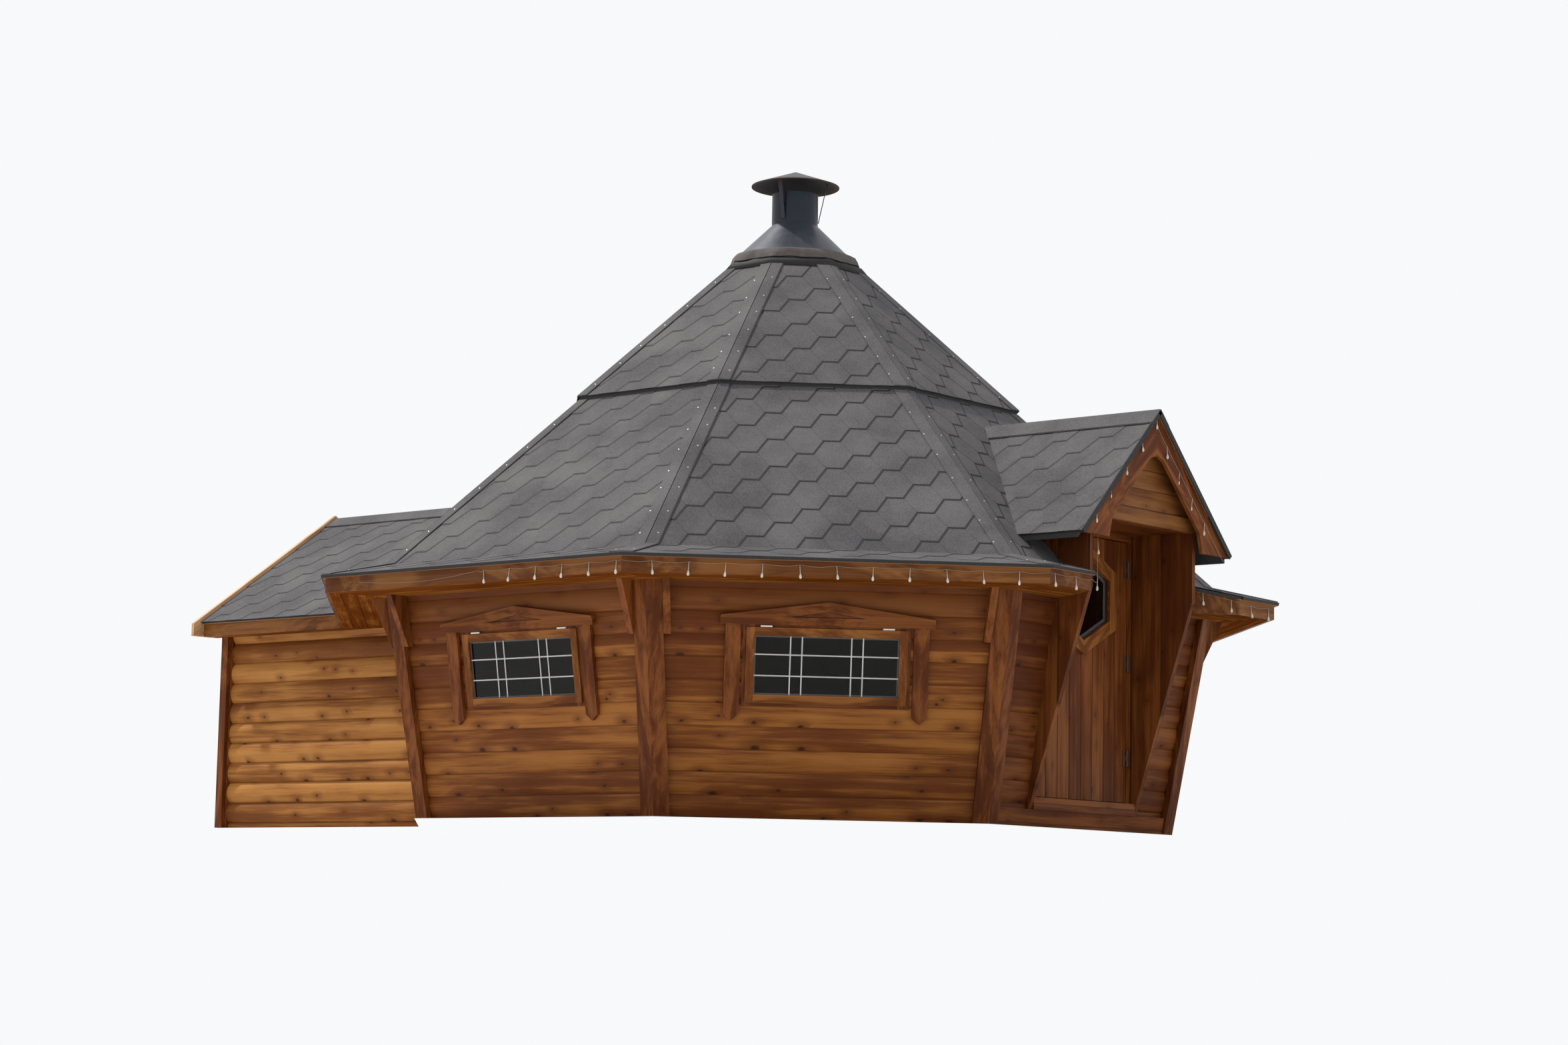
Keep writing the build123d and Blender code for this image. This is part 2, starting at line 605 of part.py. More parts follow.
def make_chimney():
    """Sheet metal cone, open pipe and a rain hat on three struts."""
    rise = tan(radians(CONE_PITCH))
    neck = PIPE_RADIUS + SEAT
    rim_height = collar_top(CONE_RADIUS * cos(radians(HALF_ANGLE))) + SEAT
    neck_height = rim_height + (CONE_RADIUS - neck) * rise
    skin = CONE_THICKNESS / cos(radians(CONE_PITCH))
    pipe_top = neck_height + PIPE_RISE
    hat_rim = pipe_top + HAT_LIFT
    strut_foot = pipe_top - STRUT_DROP + STRUT_WIDTH
    with BuildPart() as cone:
        with BuildSketch(Plane.XZ):
            Polygon((CONE_RADIUS, rim_height), (CONE_RADIUS, rim_height + skin), (neck, neck_height + skin),
                    (neck, neck_height), align=None)
        revolve(axis=Axis.Z)
    save(cone, "chimney_cone")

    with BuildPart() as pipe:
        with BuildSketch(Plane.XY.offset(neck_height - PIPE_TAIL)):
            Circle(PIPE_RADIUS)
            Circle(PIPE_RADIUS - PIPE_THICKNESS, mode=Mode.SUBTRACT)
        extrude(amount=PIPE_TAIL + PIPE_RISE)
    save(pipe, "chimney_pipe")

    with BuildPart() as hat:
        with BuildSketch(Plane.XZ):
            Polygon((0, hat_rim + HAT_RISE), (0, hat_rim + HAT_RISE - HAT_THICKNESS),
                    (HAT_RADIUS, hat_rim - HAT_THICKNESS), (HAT_RADIUS, hat_rim), align=None)
        revolve(axis=Axis.Z)
        head = hat_rim + (HAT_RADIUS - STRUT_HEAD_RADIUS) * HAT_RISE / HAT_RADIUS - HAT_THICKNESS / 2
        foot = PIPE_RADIUS + SEAT
        for turn in range(STRUT_COUNT):
            azimuth = STRUT_AZIMUTH + turn * 360 / STRUT_COUNT
            with BuildSketch(section_plane(azimuth)):
                Polygon((foot, strut_foot), (foot + STRUT_THICKNESS, strut_foot),
                        (STRUT_HEAD_RADIUS + STRUT_THICKNESS, head), (STRUT_HEAD_RADIUS, head), align=None)
            extrude(amount=STRUT_WIDTH / 2, both=True)
    save(hat, "rain_hat")


def make_windows():
    """Sashes, glass and casings of the four windows, all leaning with their walls."""
    glass_width = WINDOW_WIDTH - 2 * SASH_BORDER
    glass_height = WINDOW_HEIGHT - 2 * SASH_BORDER
    back = SASH_PROUD - SASH_THICKNESS
    with BuildPart() as sashes:
        for azimuth in WINDOW_SIDES:
            with BuildSketch(wall_plane(azimuth, back)):
                with Locations((0, WINDOW_CENTRE)):
                    Rectangle(WINDOW_WIDTH, WINDOW_HEIGHT)
                    Rectangle(glass_width, glass_height, mode=Mode.SUBTRACT)
            extrude(amount=SASH_THICKNESS)
    save(sashes, "window_sashes")

    with BuildPart() as glass:
        for azimuth in WINDOW_SIDES:
            with BuildSketch(wall_plane(azimuth, back + (SASH_THICKNESS - GLASS_THICKNESS) / 2)):
                with Locations((0, WINDOW_CENTRE)):
                    Rectangle(glass_width - 2 * SEAT, glass_height - 2 * SEAT)
            extrude(amount=GLASS_THICKNESS)
    save(glass, "window_glass")

    side = OPENING_WIDTH / 2 + CASING_GAP + CASING_WIDTH / 2
    shaft = HEAD_BOTTOM + HEAD_END / 2
    shoulder = CASING_BOTTOM + CASING_POINT
    head_top = HEAD_BOTTOM + HEAD_END
    with BuildPart() as casings:
        for azimuth in WINDOW_SIDES:
            with BuildSketch(wall_plane(azimuth, SEAT)):
                for hand in (-1, 1):
                    with Locations((hand * side, 0)):
                        Polygon((-CASING_WIDTH / 2, shaft), (-CASING_WIDTH / 2, shoulder), (0, CASING_BOTTOM),
                                (CASING_WIDTH / 2, shoulder), (CASING_WIDTH / 2, shaft), align=None)
            extrude(amount=CASING_THICKNESS)
            with BuildSketch(wall_plane(azimuth, SEAT)):
                Polygon((-HEAD_HALF, HEAD_BOTTOM), (HEAD_HALF, HEAD_BOTTOM), (HEAD_HALF, head_top),
                        (0, head_top + HEAD_RISE), (-HEAD_HALF, head_top), align=None)
            extrude(amount=HEAD_THICKNESS)
            with BuildSketch(wall_plane(azimuth, SEAT + HEAD_THICKNESS)):
                relief = HEAD_BOTTOM + HEAD_RELIEF_BOTTOM
                Polygon((-HEAD_RELIEF_HALF, relief), (HEAD_RELIEF_HALF, relief),
                        (0, relief + HEAD_RELIEF_HEIGHT), align=None)
            extrude(amount=-HEAD_RELIEF_DEPTH, mode=Mode.SUBTRACT)
    save(casings, "window_casings")

    with BuildPart() as linings:
        for azimuth in WINDOW_SIDES:
            with BuildSketch(wall_plane(azimuth, -WALL_THICKNESS)):
                with Locations((0, WINDOW_CENTRE)):
                    Rectangle(OPENING_WIDTH - 2 * SEAT, OPENING_HEIGHT - 2 * SEAT)
                    Rectangle(WINDOW_WIDTH + 2 * SASH_GAP, WINDOW_HEIGHT + 2 * SASH_GAP, mode=Mode.SUBTRACT)
            extrude(amount=WALL_THICKNESS)
    save(linings, "window_linings")


def make_porch():
    """Cheeks, ceiling, gable, barge boards and roof of the porch over the door."""
    cheek_line = (CHEEK_REACH - WALL_APOTHEM) / CHEEK_KNEE
    gable_back = CHEEK_REACH - GABLE_THICKNESS
    bottom = PLINTH_TOP + SEAT
    high = PORCH_RIDGE
    under = PORCH_RIDGE - PORCH_DROP - SEAT
    for name, side in (("porch_cheek_left", -1), ("porch_cheek_right", 1)):
        seat = Plane(origin=(0, 0, under),
                     z_dir=(side * sin(radians(PORCH_PITCH)), 0, cos(radians(PORCH_PITCH))))
        with BuildPart() as cheek:
            with BuildSketch(Plane.YZ.offset(side * DOORWAY_HALF)):
                Polygon((-CHEEK_BACK, bottom), (-WALL_APOTHEM - bottom * cheek_line, bottom),
                        (-CHEEK_REACH, CHEEK_KNEE), (-CHEEK_REACH, GABLE_BOTTOM - SEAT),
                        (SEAT - gable_back, GABLE_BOTTOM - SEAT), (SEAT - gable_back, high),
                        (-CHEEK_BACK, high), align=None)
            extrude(amount=side * CHEEK_THICKNESS)
            split(bisect_by=seat, keep=Keep.BOTTOM)
        save(cheek, name)

    with BuildPart() as ceiling:
        with BuildSketch(Plane.XY.offset(FRAME_TOP + SEAT)):
            with Locations((0, -(FRAME_BACK + gable_back - SEAT) / 2)):
                Rectangle(2 * (DOORWAY_HALF - SEAT), gable_back - SEAT - FRAME_BACK)
        extrude(amount=CEILING_THICKNESS)
    save(ceiling, "porch_ceiling")

    gable_half = (under - GABLE_BOTTOM) / PORCH_RATE
    beam_half = (under - GABLE_BOTTOM - BEAM_HEIGHT) / PORCH_RATE
    with BuildPart() as gable:
        add(along_gable(-CHEEK_REACH, -gable_back, (-gable_half, GABLE_BOTTOM), (gable_half, GABLE_BOTTOM),
                        (0, under)))
        add(along_gable(-CHEEK_REACH - BEAM_PROUD, -CHEEK_REACH, (-gable_half, GABLE_BOTTOM),
                        (gable_half, GABLE_BOTTOM), (beam_half, GABLE_BOTTOM + BEAM_HEIGHT),
                        (-beam_half, GABLE_BOTTOM + BEAM_HEIGHT)))
    save(gable, "porch_gable")

    lip = PORCH_EDGE / cos(radians(PORCH_PITCH))
    barge_top = PORCH_RIDGE - lip - SEAT
    inner_top = barge_top - BARGE_WIDTH / cos(radians(PORCH_PITCH))
    foot_half = (barge_top - BARGE_FOOT) / PORCH_RATE
    knee_half = (inner_top - BARGE_KNEE) / PORCH_RATE
    barge_front = PORCH_FRONT - BARGE_LIP
    with BuildPart() as barge:
        with BuildSketch(Plane.XZ.offset(barge_front - BARGE_THICKNESS)) as outline:
            Polygon((0, barge_top), (foot_half, BARGE_FOOT), (BARGE_FOOT_HALF, BARGE_FOOT),
                    (knee_half, BARGE_KNEE), (0, inner_top), (-knee_half, BARGE_KNEE),
                    (-BARGE_FOOT_HALF, BARGE_FOOT), (-foot_half, BARGE_FOOT), align=None)
            fillet(outline.vertices().group_by(Axis.X)[3].sort_by(Axis.Y)[0], radius=BARGE_ARCH)
        extrude(amount=BARGE_THICKNESS)
    save(barge, "porch_barge_boards")

    barge_back = barge_front - BARGE_THICKNESS
    for name, side in (("porch_roof_left", -1), ("porch_roof_right", 1)):
        with BuildPart() as slope:
            foot = side * PORCH_EAVE_HALF
            add(along_gable(SEAT - barge_back, 0, (0, PORCH_RIDGE), (foot, PORCH_EAVE_TOP),
                            (foot, PORCH_EAVE_TOP - PORCH_DROP), (0, PORCH_RIDGE - PORCH_DROP)))
            add(along_gable(-PORCH_FRONT, SEAT - barge_back, (0, PORCH_RIDGE), (foot, PORCH_EAVE_TOP),
                            (foot, PORCH_EAVE_TOP - lip), (0, PORCH_RIDGE - lip)))
            split(bisect_by=roof_plane(0, SEAT), keep=Keep.TOP)
        save(slope, name)


def make_doorway():
    """Plinth, sill and frame round the upright door."""
    with BuildPart() as plinth:
        with BuildSketch(wall_plane(0, SEAT)):
            with Locations((0, PLINTH_TOP / 2)):
                Rectangle(2 * (corner_edge(0) - SEAT), 2 * PLINTH_TOP)
        extrude(amount=PLINTH_THICKNESS)
        split(bisect_by=Plane.XY, keep=Keep.TOP)
        split(bisect_by=Plane.XY.offset(PLINTH_TOP), keep=Keep.BOTTOM)
    save(plinth, "door_plinth")

    with BuildPart() as sill:
        with BuildSketch(Plane.YZ.offset(SEAT - DOORWAY_HALF)):
            Polygon((-FRAME_BACK, 0), (-WALL_APOTHEM, 0),
                    (-WALL_APOTHEM - PLINTH_TOP * LEAN_RATE, PLINTH_TOP + SEAT),
                    (-SILL_FRONT, PLINTH_TOP + SEAT), (-SILL_FRONT, SILL_TOP), (-FRAME_BACK, SILL_TOP),
                    align=None)
        extrude(amount=2 * (DOORWAY_HALF - SEAT))
    save(sill, "door_sill")

    outer = DOORWAY_HALF - SEAT
    inner = DOORWAY_HALF - JAMB_WIDTH
    stop = inner - STOP_WIDTH
    stop_front = FRAME_FRONT - DOOR_THICKNESS - DOOR_HINGE_GAP
    with BuildPart() as frame:
        with BuildSketch(Plane.XY.offset(SILL_TOP + SEAT)):
            for side in (-1, 1):
                Polygon((side * inner, -FRAME_FRONT), (side * outer, -FRAME_FRONT),
                        (side * outer, -FRAME_BACK), (side * stop, -FRAME_BACK), (side * stop, -stop_front),
                        (side * inner, -stop_front), align=None)
        extrude(amount=FRAME_TOP - SILL_TOP - SEAT)
        with BuildSketch(Plane.YZ.offset(-inner)):
            Polygon((-FRAME_FRONT, FRAME_TOP), (-FRAME_FRONT, FRAME_HEAD), (-stop_front, FRAME_HEAD),
                    (-stop_front, FRAME_HEAD - STOP_WIDTH), (-FRAME_BACK, FRAME_HEAD - STOP_WIDTH),
                    (-FRAME_BACK, FRAME_TOP), align=None)
        extrude(amount=2 * inner)
    save(frame, "door_frame")


def hexagon(grow):
    """Corners of the tall six-sided door light, grown by a margin."""
    slope = hypot(HEX_HALF, HEX_POINT)
    half = HEX_HALF + grow
    side = HEX_SIDE / 2 + grow * (slope - HEX_POINT) / HEX_HALF
    point = HEX_SIDE / 2 + HEX_POINT + grow * slope / HEX_HALF
    return [(half, side), (0, point), (-half, side), (-half, -side), (0, -point), (half, -side)]


def make_door():
    """Door leaf with a six-sided light, its glass, trim, hinges and handle."""
    inner = DOORWAY_HALF - JAMB_WIDTH
    left = -inner + DOOR_LATCH_GAP
    right = inner - DOOR_HINGE_GAP
    low = SILL_TOP + DOOR_BOTTOM_GAP
    high = FRAME_HEAD - DOOR_TOP_GAP
    front = Plane.XZ.offset(FRAME_FRONT)
    with BuildPart() as leaf:
        with BuildSketch(front):
            Polygon((left, low), (right, low), (right, high), (left, high), align=None)
            with Locations((0, HEX_CENTRE)):
                Polygon(*hexagon(0), align=None, mode=Mode.SUBTRACT)
        extrude(amount=-DOOR_THICKNESS)
        with BuildSketch(Plane.XY.offset(low)):
            for n in range(GROOVE_COUNT):
                x = (left + right) / 2 + (n - (GROOVE_COUNT - 1) / 2) * GROOVE_SPACING
                Polygon((x - GROOVE_DEPTH, -FRAME_FRONT), (x + GROOVE_DEPTH, -FRAME_FRONT),
                        (x, GROOVE_DEPTH - FRAME_FRONT), align=None)
        extrude(amount=high - low, mode=Mode.SUBTRACT)
    save(leaf, "door_leaf")

    with BuildPart() as glass:
        with BuildSketch(front.offset(-DOOR_THICKNESS / 2)):
            with Locations((0, HEX_CENTRE)):
                Polygon(*hexagon(-SEAT), align=None)
        extrude(amount=-GLASS_THICKNESS)
    save(glass, "door_glass")

    with BuildPart() as trim:
        with BuildSketch(front.offset(SEAT)):
            with Locations((0, HEX_CENTRE)):
                Polygon(*hexagon(HEX_TRIM), align=None)
                Polygon(*hexagon(0), align=None, mode=Mode.SUBTRACT)
        extrude(amount=HEX_TRIM_THICKNESS)
    save(trim, "door_light_trim")

    axis_x = inner - DOOR_HINGE_GAP / 2
    axis_y = -FRAME_FRONT - HINGE_STANDOFF
    plate = HINGE_STANDOFF / 2
    third = HINGE_LENGTH / 3
    for name, side, spans in (("frame_hinges", 1, (0, 2)), ("door_hinges", -1, (1,))):
        with BuildPart() as hinges:
            for height in HINGE_HEIGHTS:
                for span in spans:
                    with BuildSketch(Plane.XY.offset(height + span * third + SEAT)):
                        with Locations((axis_x, axis_y)):
                            Circle(HINGE_RADIUS)
                            with Locations((side * HINGE_PLATE / 2, HINGE_STANDOFF - SEAT - plate / 2)):
                                Rectangle(HINGE_PLATE, plate)
                    extrude(amount=third - 2 * SEAT)
                middle_x = axis_x + side * (HINGE_PLATE / 2 + HINGE_RADIUS)
                middle_y = axis_y + HINGE_STANDOFF - SEAT - plate / 2
                with BuildSketch(Plane.XY.offset(height + SEAT)):
                    with Locations((middle_x, middle_y)):
                        Rectangle(HINGE_PLATE - 2 * HINGE_RADIUS, plate)
                extrude(amount=HINGE_LENGTH - 2 * SEAT)
        save(hinges, name)

    width, height, depth = HANDLE_PLATE
    with BuildPart() as handle:
        for face, out in ((-FRAME_FRONT, -1), (DOOR_THICKNESS - FRAME_FRONT, 1)):
            stem_x = left + HANDLE_INSET
            grip_y = face + out * HANDLE_STEM
            outside = Plane(origin=(stem_x, face + out * SEAT, HANDLE_HEIGHT), x_dir=(1, 0, 0),
                            z_dir=(0, out, 0))
            grip = Plane(origin=(stem_x - HANDLE_RADIUS, grip_y, HANDLE_HEIGHT), z_dir=(1, 0, 0))
            with BuildSketch(outside):
                RectangleRounded(width, height, HANDLE_CORNER)
            extrude(amount=depth)
            with BuildSketch(outside.offset(depth / 2)):
                Circle(HANDLE_RADIUS)
            extrude(amount=HANDLE_STEM)
            with BuildSketch(grip):
                Circle(HANDLE_RADIUS)
            extrude(amount=HANDLE_LENGTH)
    save(handle, "door_handle")


def make_floors():
    """Boarded floors of the octagon and the annex, between the walls."""
    low = FLOOR_TOP - FLOOR_THICKNESS
    apothem = WALL_APOTHEM - WALL_THICKNESS + low * LEAN_RATE - SEAT
    sill = FRAME_BACK - SEAT
    with BuildPart() as floor:
        with BuildSketch(Plane.XY.offset(low)):
            Polygon(*octagon(apothem), align=None)
            with Locations((0, -apothem)):
                Rectangle(2 * CHEEK_OUTER + 2 * SEAT, 2 * (apothem - CHEEK_BACK + SEAT), mode=Mode.SUBTRACT)
            with Locations((0, -(sill + CHEEK_BACK) / 2)):
                Rectangle(2 * (DOORWAY_HALF - SEAT), sill - CHEEK_BACK + 2 * SEAT)
        extrude(amount=FLOOR_THICKNESS)
    save(floor, "floor")

    walls = octagon(WALL_APOTHEM + FLOOR_TOP * LEAN_RATE + SEAT)
    near = apothem + SEAT
    strip = min((WALL_APOTHEM - WALL_THICKNESS) * HALF_RATE, ANNEX_INNER - SEAT)
    far = ANNEX_END - ANNEX_WALL - SEAT
    with BuildPart() as annex:
        with BuildSketch(Plane.XY.offset(low)):
            with Locations((0, (near + far) / 2)):
                Rectangle(2 * (ANNEX_INNER - SEAT), far - near)
            Polygon(*walls, align=None, mode=Mode.SUBTRACT)
            with Locations((0, near + WALL_THICKNESS)):
                Rectangle(2 * strip, 2 * WALL_THICKNESS)
        extrude(amount=FLOOR_THICKNESS)
    save(annex, "annex_floor")

    inner = WALL_APOTHEM - WALL_THICKNESS - BEARER_CLEARANCE
    with BuildPart() as bearers:
        with BuildSketch():
            for n in (-2, -1, 0, 1, 2):
                x = n * BEARER_SPACING
                outer = abs(x) + BEARER_WIDTH / 2
                front = min(CHEEK_BACK - BEARER_CLEARANCE, inner / TURN_COS - outer)
                back = far if outer < strip else front
                with Locations((x, (back - front) / 2)):
                    Rectangle(BEARER_WIDTH, back + front)
        extrude(amount=low - SEAT)
    save(bearers, "floor_bearers")


def make_annex():
    """Upright log walls, roof slopes and verge boards of the annex."""
    under = ANNEX_RIDGE - ANNEX_DROP - SEAT
    lean = (sin(radians(ANNEX_PITCH)), 0, cos(radians(ANNEX_PITCH)))
    seats = {side: Plane(origin=(0, 0, under), z_dir=(side * lean[0], 0, lean[2])) for side in (-1, 1)}
    high = ANNEX_EAVE_TOP + 2 * ANNEX_DROP
    arcs = log_points(ANNEX_HALF, 0, ANNEX_COURSE, ANNEX_BULGE, ANNEX_FIRST_JOINT, high)
    wall_end = ANNEX_END - ANNEX_WALL - SEAT
    for name, side, azimuth in (("annex_left_wall", -1, -135), ("annex_right_wall", 1, 135)):
        with BuildPart() as wall:
            with BuildSketch(Plane.XZ.offset(-RING_IN)):
                with BuildLine():
                    for start, crown, end in arcs:
                        ThreePointArc((side * start[0], start[1]), (side * crown[0], crown[1]),
                                      (side * end[0], end[1]))
                    top = arcs[-1][2]
                    Polyline((side * top[0], top[1]), (side * ANNEX_INNER, top[1]), (side * ANNEX_INNER, 0),
                             (side * arcs[0][0][0], 0))
                make_face()
            extrude(amount=RING_IN - wall_end)
            split(bisect_by=seats[side], keep=Keep.BOTTOM)
            split(bisect_by=wall_plane(azimuth, SEAT), keep=Keep.TOP)
            add(eave_block(azimuth), mode=Mode.SUBTRACT)
        save(wall, name)

    half = ANNEX_HALF - ANNEX_BULGE
    back_arcs = log_points(ANNEX_END, 0, ANNEX_COURSE, ANNEX_BULGE, ANNEX_FIRST_JOINT, ANNEX_RIDGE)
    with BuildPart() as back:
        with BuildSketch(Plane.YZ.offset(-half)):
            with BuildLine():
                for arc in back_arcs:
                    ThreePointArc(*arc)
                top = back_arcs[-1][2]
                Polyline(top, (ANNEX_END - ANNEX_WALL, top[1]), (ANNEX_END - ANNEX_WALL, 0), back_arcs[0][0])
            make_face()
        extrude(amount=2 * half)
        split(bisect_by=seats[-1], keep=Keep.BOTTOM)
        split(bisect_by=seats[1], keep=Keep.BOTTOM)
    save(back, "annex_back_wall")

    lip_x = ANNEX_FASCIA_BACK - SEAT
    for name, side in (("annex_roof_left", -1), ("annex_roof_right", 1)):
        with BuildPart() as slope:
            add(along_gable(RING_IN, ANNEX_ROOF_END, (0, ANNEX_RIDGE),
                            (side * ANNEX_EAVE_HALF, ANNEX_EAVE_TOP),
                            (side * ANNEX_EAVE_HALF, ANNEX_EAVE_TOP - EAVE_EDGE),
                            (side * lip_x, ANNEX_RIDGE - EAVE_EDGE - lip_x * ANNEX_RATE),
                            (side * lip_x, ANNEX_RIDGE - ANNEX_DROP - lip_x * ANNEX_RATE),
                            (0, ANNEX_RIDGE - ANNEX_DROP)))
            add(under_roof_block(180, False), mode=Mode.SUBTRACT)
            add(under_roof_block(side * 135, True), mode=Mode.SUBTRACT)
        save(slope, name)

    drop = VERGE_WIDTH / cos(radians(ANNEX_PITCH))
    crest = ANNEX_RIDGE + VERGE_RISE
    foot = crest - drop - FASCIA_BOTTOM
    with BuildPart() as verge:
        add(along_gable(ANNEX_ROOF_END + SEAT, ANNEX_ROOF_END + VERGE_THICKNESS, (0, crest),
                        (VERGE_HALF, crest - VERGE_HALF * ANNEX_RATE), (VERGE_HALF, FASCIA_BOTTOM),
                        (foot / ANNEX_RATE, FASCIA_BOTTOM), (0, crest - drop),
                        (-foot / ANNEX_RATE, FASCIA_BOTTOM), (-VERGE_HALF, FASCIA_BOTTOM),
                        (-VERGE_HALF, crest - VERGE_HALF * ANNEX_RATE)))
    save(verge, "annex_verge_boards")


os.makedirs("parts", exist_ok=True)
make_walls()
make_door_walls()
make_corner_boards()
make_eaves()
make_lower_roof()
make_upper_roof()
make_chimney()
make_windows()
make_porch()
make_doorway()
make_door()
make_floors()
make_annex()
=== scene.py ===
# %% [markdown]
# # An octagonal log cabin, dressed in Blender
# The CAD model already has the cabin's solids: walls, roof panels, windows, door and chimney.
# It is loaded as a fixed frame. Everything after that is either a material for one of those
# solids or a thin piece laid on one, such as the shingles.

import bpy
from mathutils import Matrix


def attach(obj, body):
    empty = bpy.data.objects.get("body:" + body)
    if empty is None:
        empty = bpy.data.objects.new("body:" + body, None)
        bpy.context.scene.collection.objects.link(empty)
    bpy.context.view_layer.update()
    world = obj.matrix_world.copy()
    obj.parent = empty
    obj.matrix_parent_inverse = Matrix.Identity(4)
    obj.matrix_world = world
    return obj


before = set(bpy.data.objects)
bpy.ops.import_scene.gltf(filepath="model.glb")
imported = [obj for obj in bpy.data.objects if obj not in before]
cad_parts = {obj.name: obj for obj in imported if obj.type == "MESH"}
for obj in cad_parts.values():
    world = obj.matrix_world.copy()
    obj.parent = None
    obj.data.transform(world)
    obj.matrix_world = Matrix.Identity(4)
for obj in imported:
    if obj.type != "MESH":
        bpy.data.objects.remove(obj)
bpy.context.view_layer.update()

import random
from math import cos, hypot, pi, radians, sin, tan

import bmesh
import bpy
from mathutils import Matrix, Vector

# %% [markdown]
# ## Sizes shared with the model
# A thin piece must lie exactly on the solid under it, so these sizes repeat the model's own, in
# metres. Azimuth 0 is the door side, and azimuths grow anticlockwise seen from above.

# %% Shared sizes
HALF_RATE = tan(radians(22.5))
WALL_APOTHEM, WALL_LEAN = 2.180, radians(9.4)
EAVE_RADIUS, EAVE_HEIGHT, FASCIA_FACE = 2.790, 1.368, 2.772
KNEE_RADIUS, BREAK_RADIUS = 2.430, 1.327
FLARE_PITCH, ROOF_PITCH = radians(13.4), radians(44.2)
KNEE_HEIGHT = EAVE_HEIGHT + (EAVE_RADIUS - KNEE_RADIUS) * tan(FLARE_PITCH)
UPPER_LIFT = 0.0343
PORCH_RIDGE, PORCH_HALF, PORCH_FRONT, PORCH_PITCH = 2.364, 0.752, 2.712, radians(45)
CHEEK_OUTER, NOTCH_DEPTH = 0.5383, 0.283
NOTCH_BACK = -EAVE_RADIUS + NOTCH_DEPTH
ANNEX_PITCH, ANNEX_HALF, ANNEX_END = radians(34.8), 1.166, 4.110
ANNEX_RIDGE = 1.369 + ANNEX_HALF * tan(ANNEX_PITCH)
SIDES, WINDOW_SIDES = (0, 45, 90, 135, 180, -135, -90, -45), (-90, -45, 45, 90)
RIGHT, BACK, UP = Vector((1, 0, 0)), Vector((0, 1, 0)), Vector((0, 0, 1))


def outward(azimuth):
    return Vector((sin(radians(azimuth)), -cos(radians(azimuth)), 0))


def sideways(azimuth):
    return Vector((cos(radians(azimuth)), sin(radians(azimuth)), 0))


def roof_height(radius):
    return KNEE_HEIGHT + (KNEE_RADIUS - radius) * tan(ROOF_PITCH)


print("knee at", round(KNEE_HEIGHT, 3), "upper stage from", round(roof_height(BREAK_RADIUS) + UPPER_LIFT, 3))

# %% [markdown]
# ## Shader maths as Python
# A procedural material is a sum of simple fields: a noise here, a ring there. Written as nodes by
# hand, the sums get lost, so one small class wraps a socket and lets Python's own operators add the
# Math nodes. One method adds any other node from its type, its settings and its sockets.

# %% The socket class
class Field:
    """A number socket that can be added, multiplied and compared like a number."""

    def __init__(self, recipe, socket):
        self.recipe, self.socket = recipe, socket

    def math(self, operation, *values):
        return self.recipe.add("ShaderNodeMath", {"operation": operation}, dict(enumerate(values)))[0]

    def __add__(self, other):
        return self.math("ADD", self, other)

    def __radd__(self, other):
        return self.math("ADD", other, self)

    def __sub__(self, other):
        return self.math("SUBTRACT", self, other)

    def __rsub__(self, other):
        return self.math("SUBTRACT", other, self)

    def __mul__(self, other):
        return self.math("MULTIPLY", self, other)

    def __rmul__(self, other):
        return self.math("MULTIPLY", other, self)

    def __truediv__(self, other):
        return self.math("DIVIDE", self, other)

    def __gt__(self, other):
        return self.math("GREATER_THAN", self, other)

    def __lt__(self, other):
        return self.math("LESS_THAN", self, other)

    def whole(self):
        return self.math("FLOOR", self)

    def part(self):
        return self.math("FRACT", self)

    def nearest(self):
        return self.math("ROUND", self)

    def size(self):
        return self.math("ABSOLUTE", self)

    def least(self, other):
        return self.math("MINIMUM", self, other)

    def angle(self, other):
        return self.math("ARCTAN2", self, other)

    def sine(self):
        return self.math("SINE", self)

    def cosine(self):
        return self.math("COSINE", self)

    def clamp(self):
        return self.recipe.add("ShaderNodeClamp", {}, {0: self})[0]

    def ramp(self, low, high):
        """0 below low, 1 above high, smooth between."""
        settings = {"interpolation_type": "SMOOTHSTEP"}
        return self.recipe.add("ShaderNodeMapRange", settings, {0: self, 1: low, 2: high})[0]

    def seam(self, width):
        """1 at each whole number, falling to 0 at a width on both sides."""
        edge = self.part()
        return 1.0 - edge.least(1.0 - edge).ramp(0.0, width)


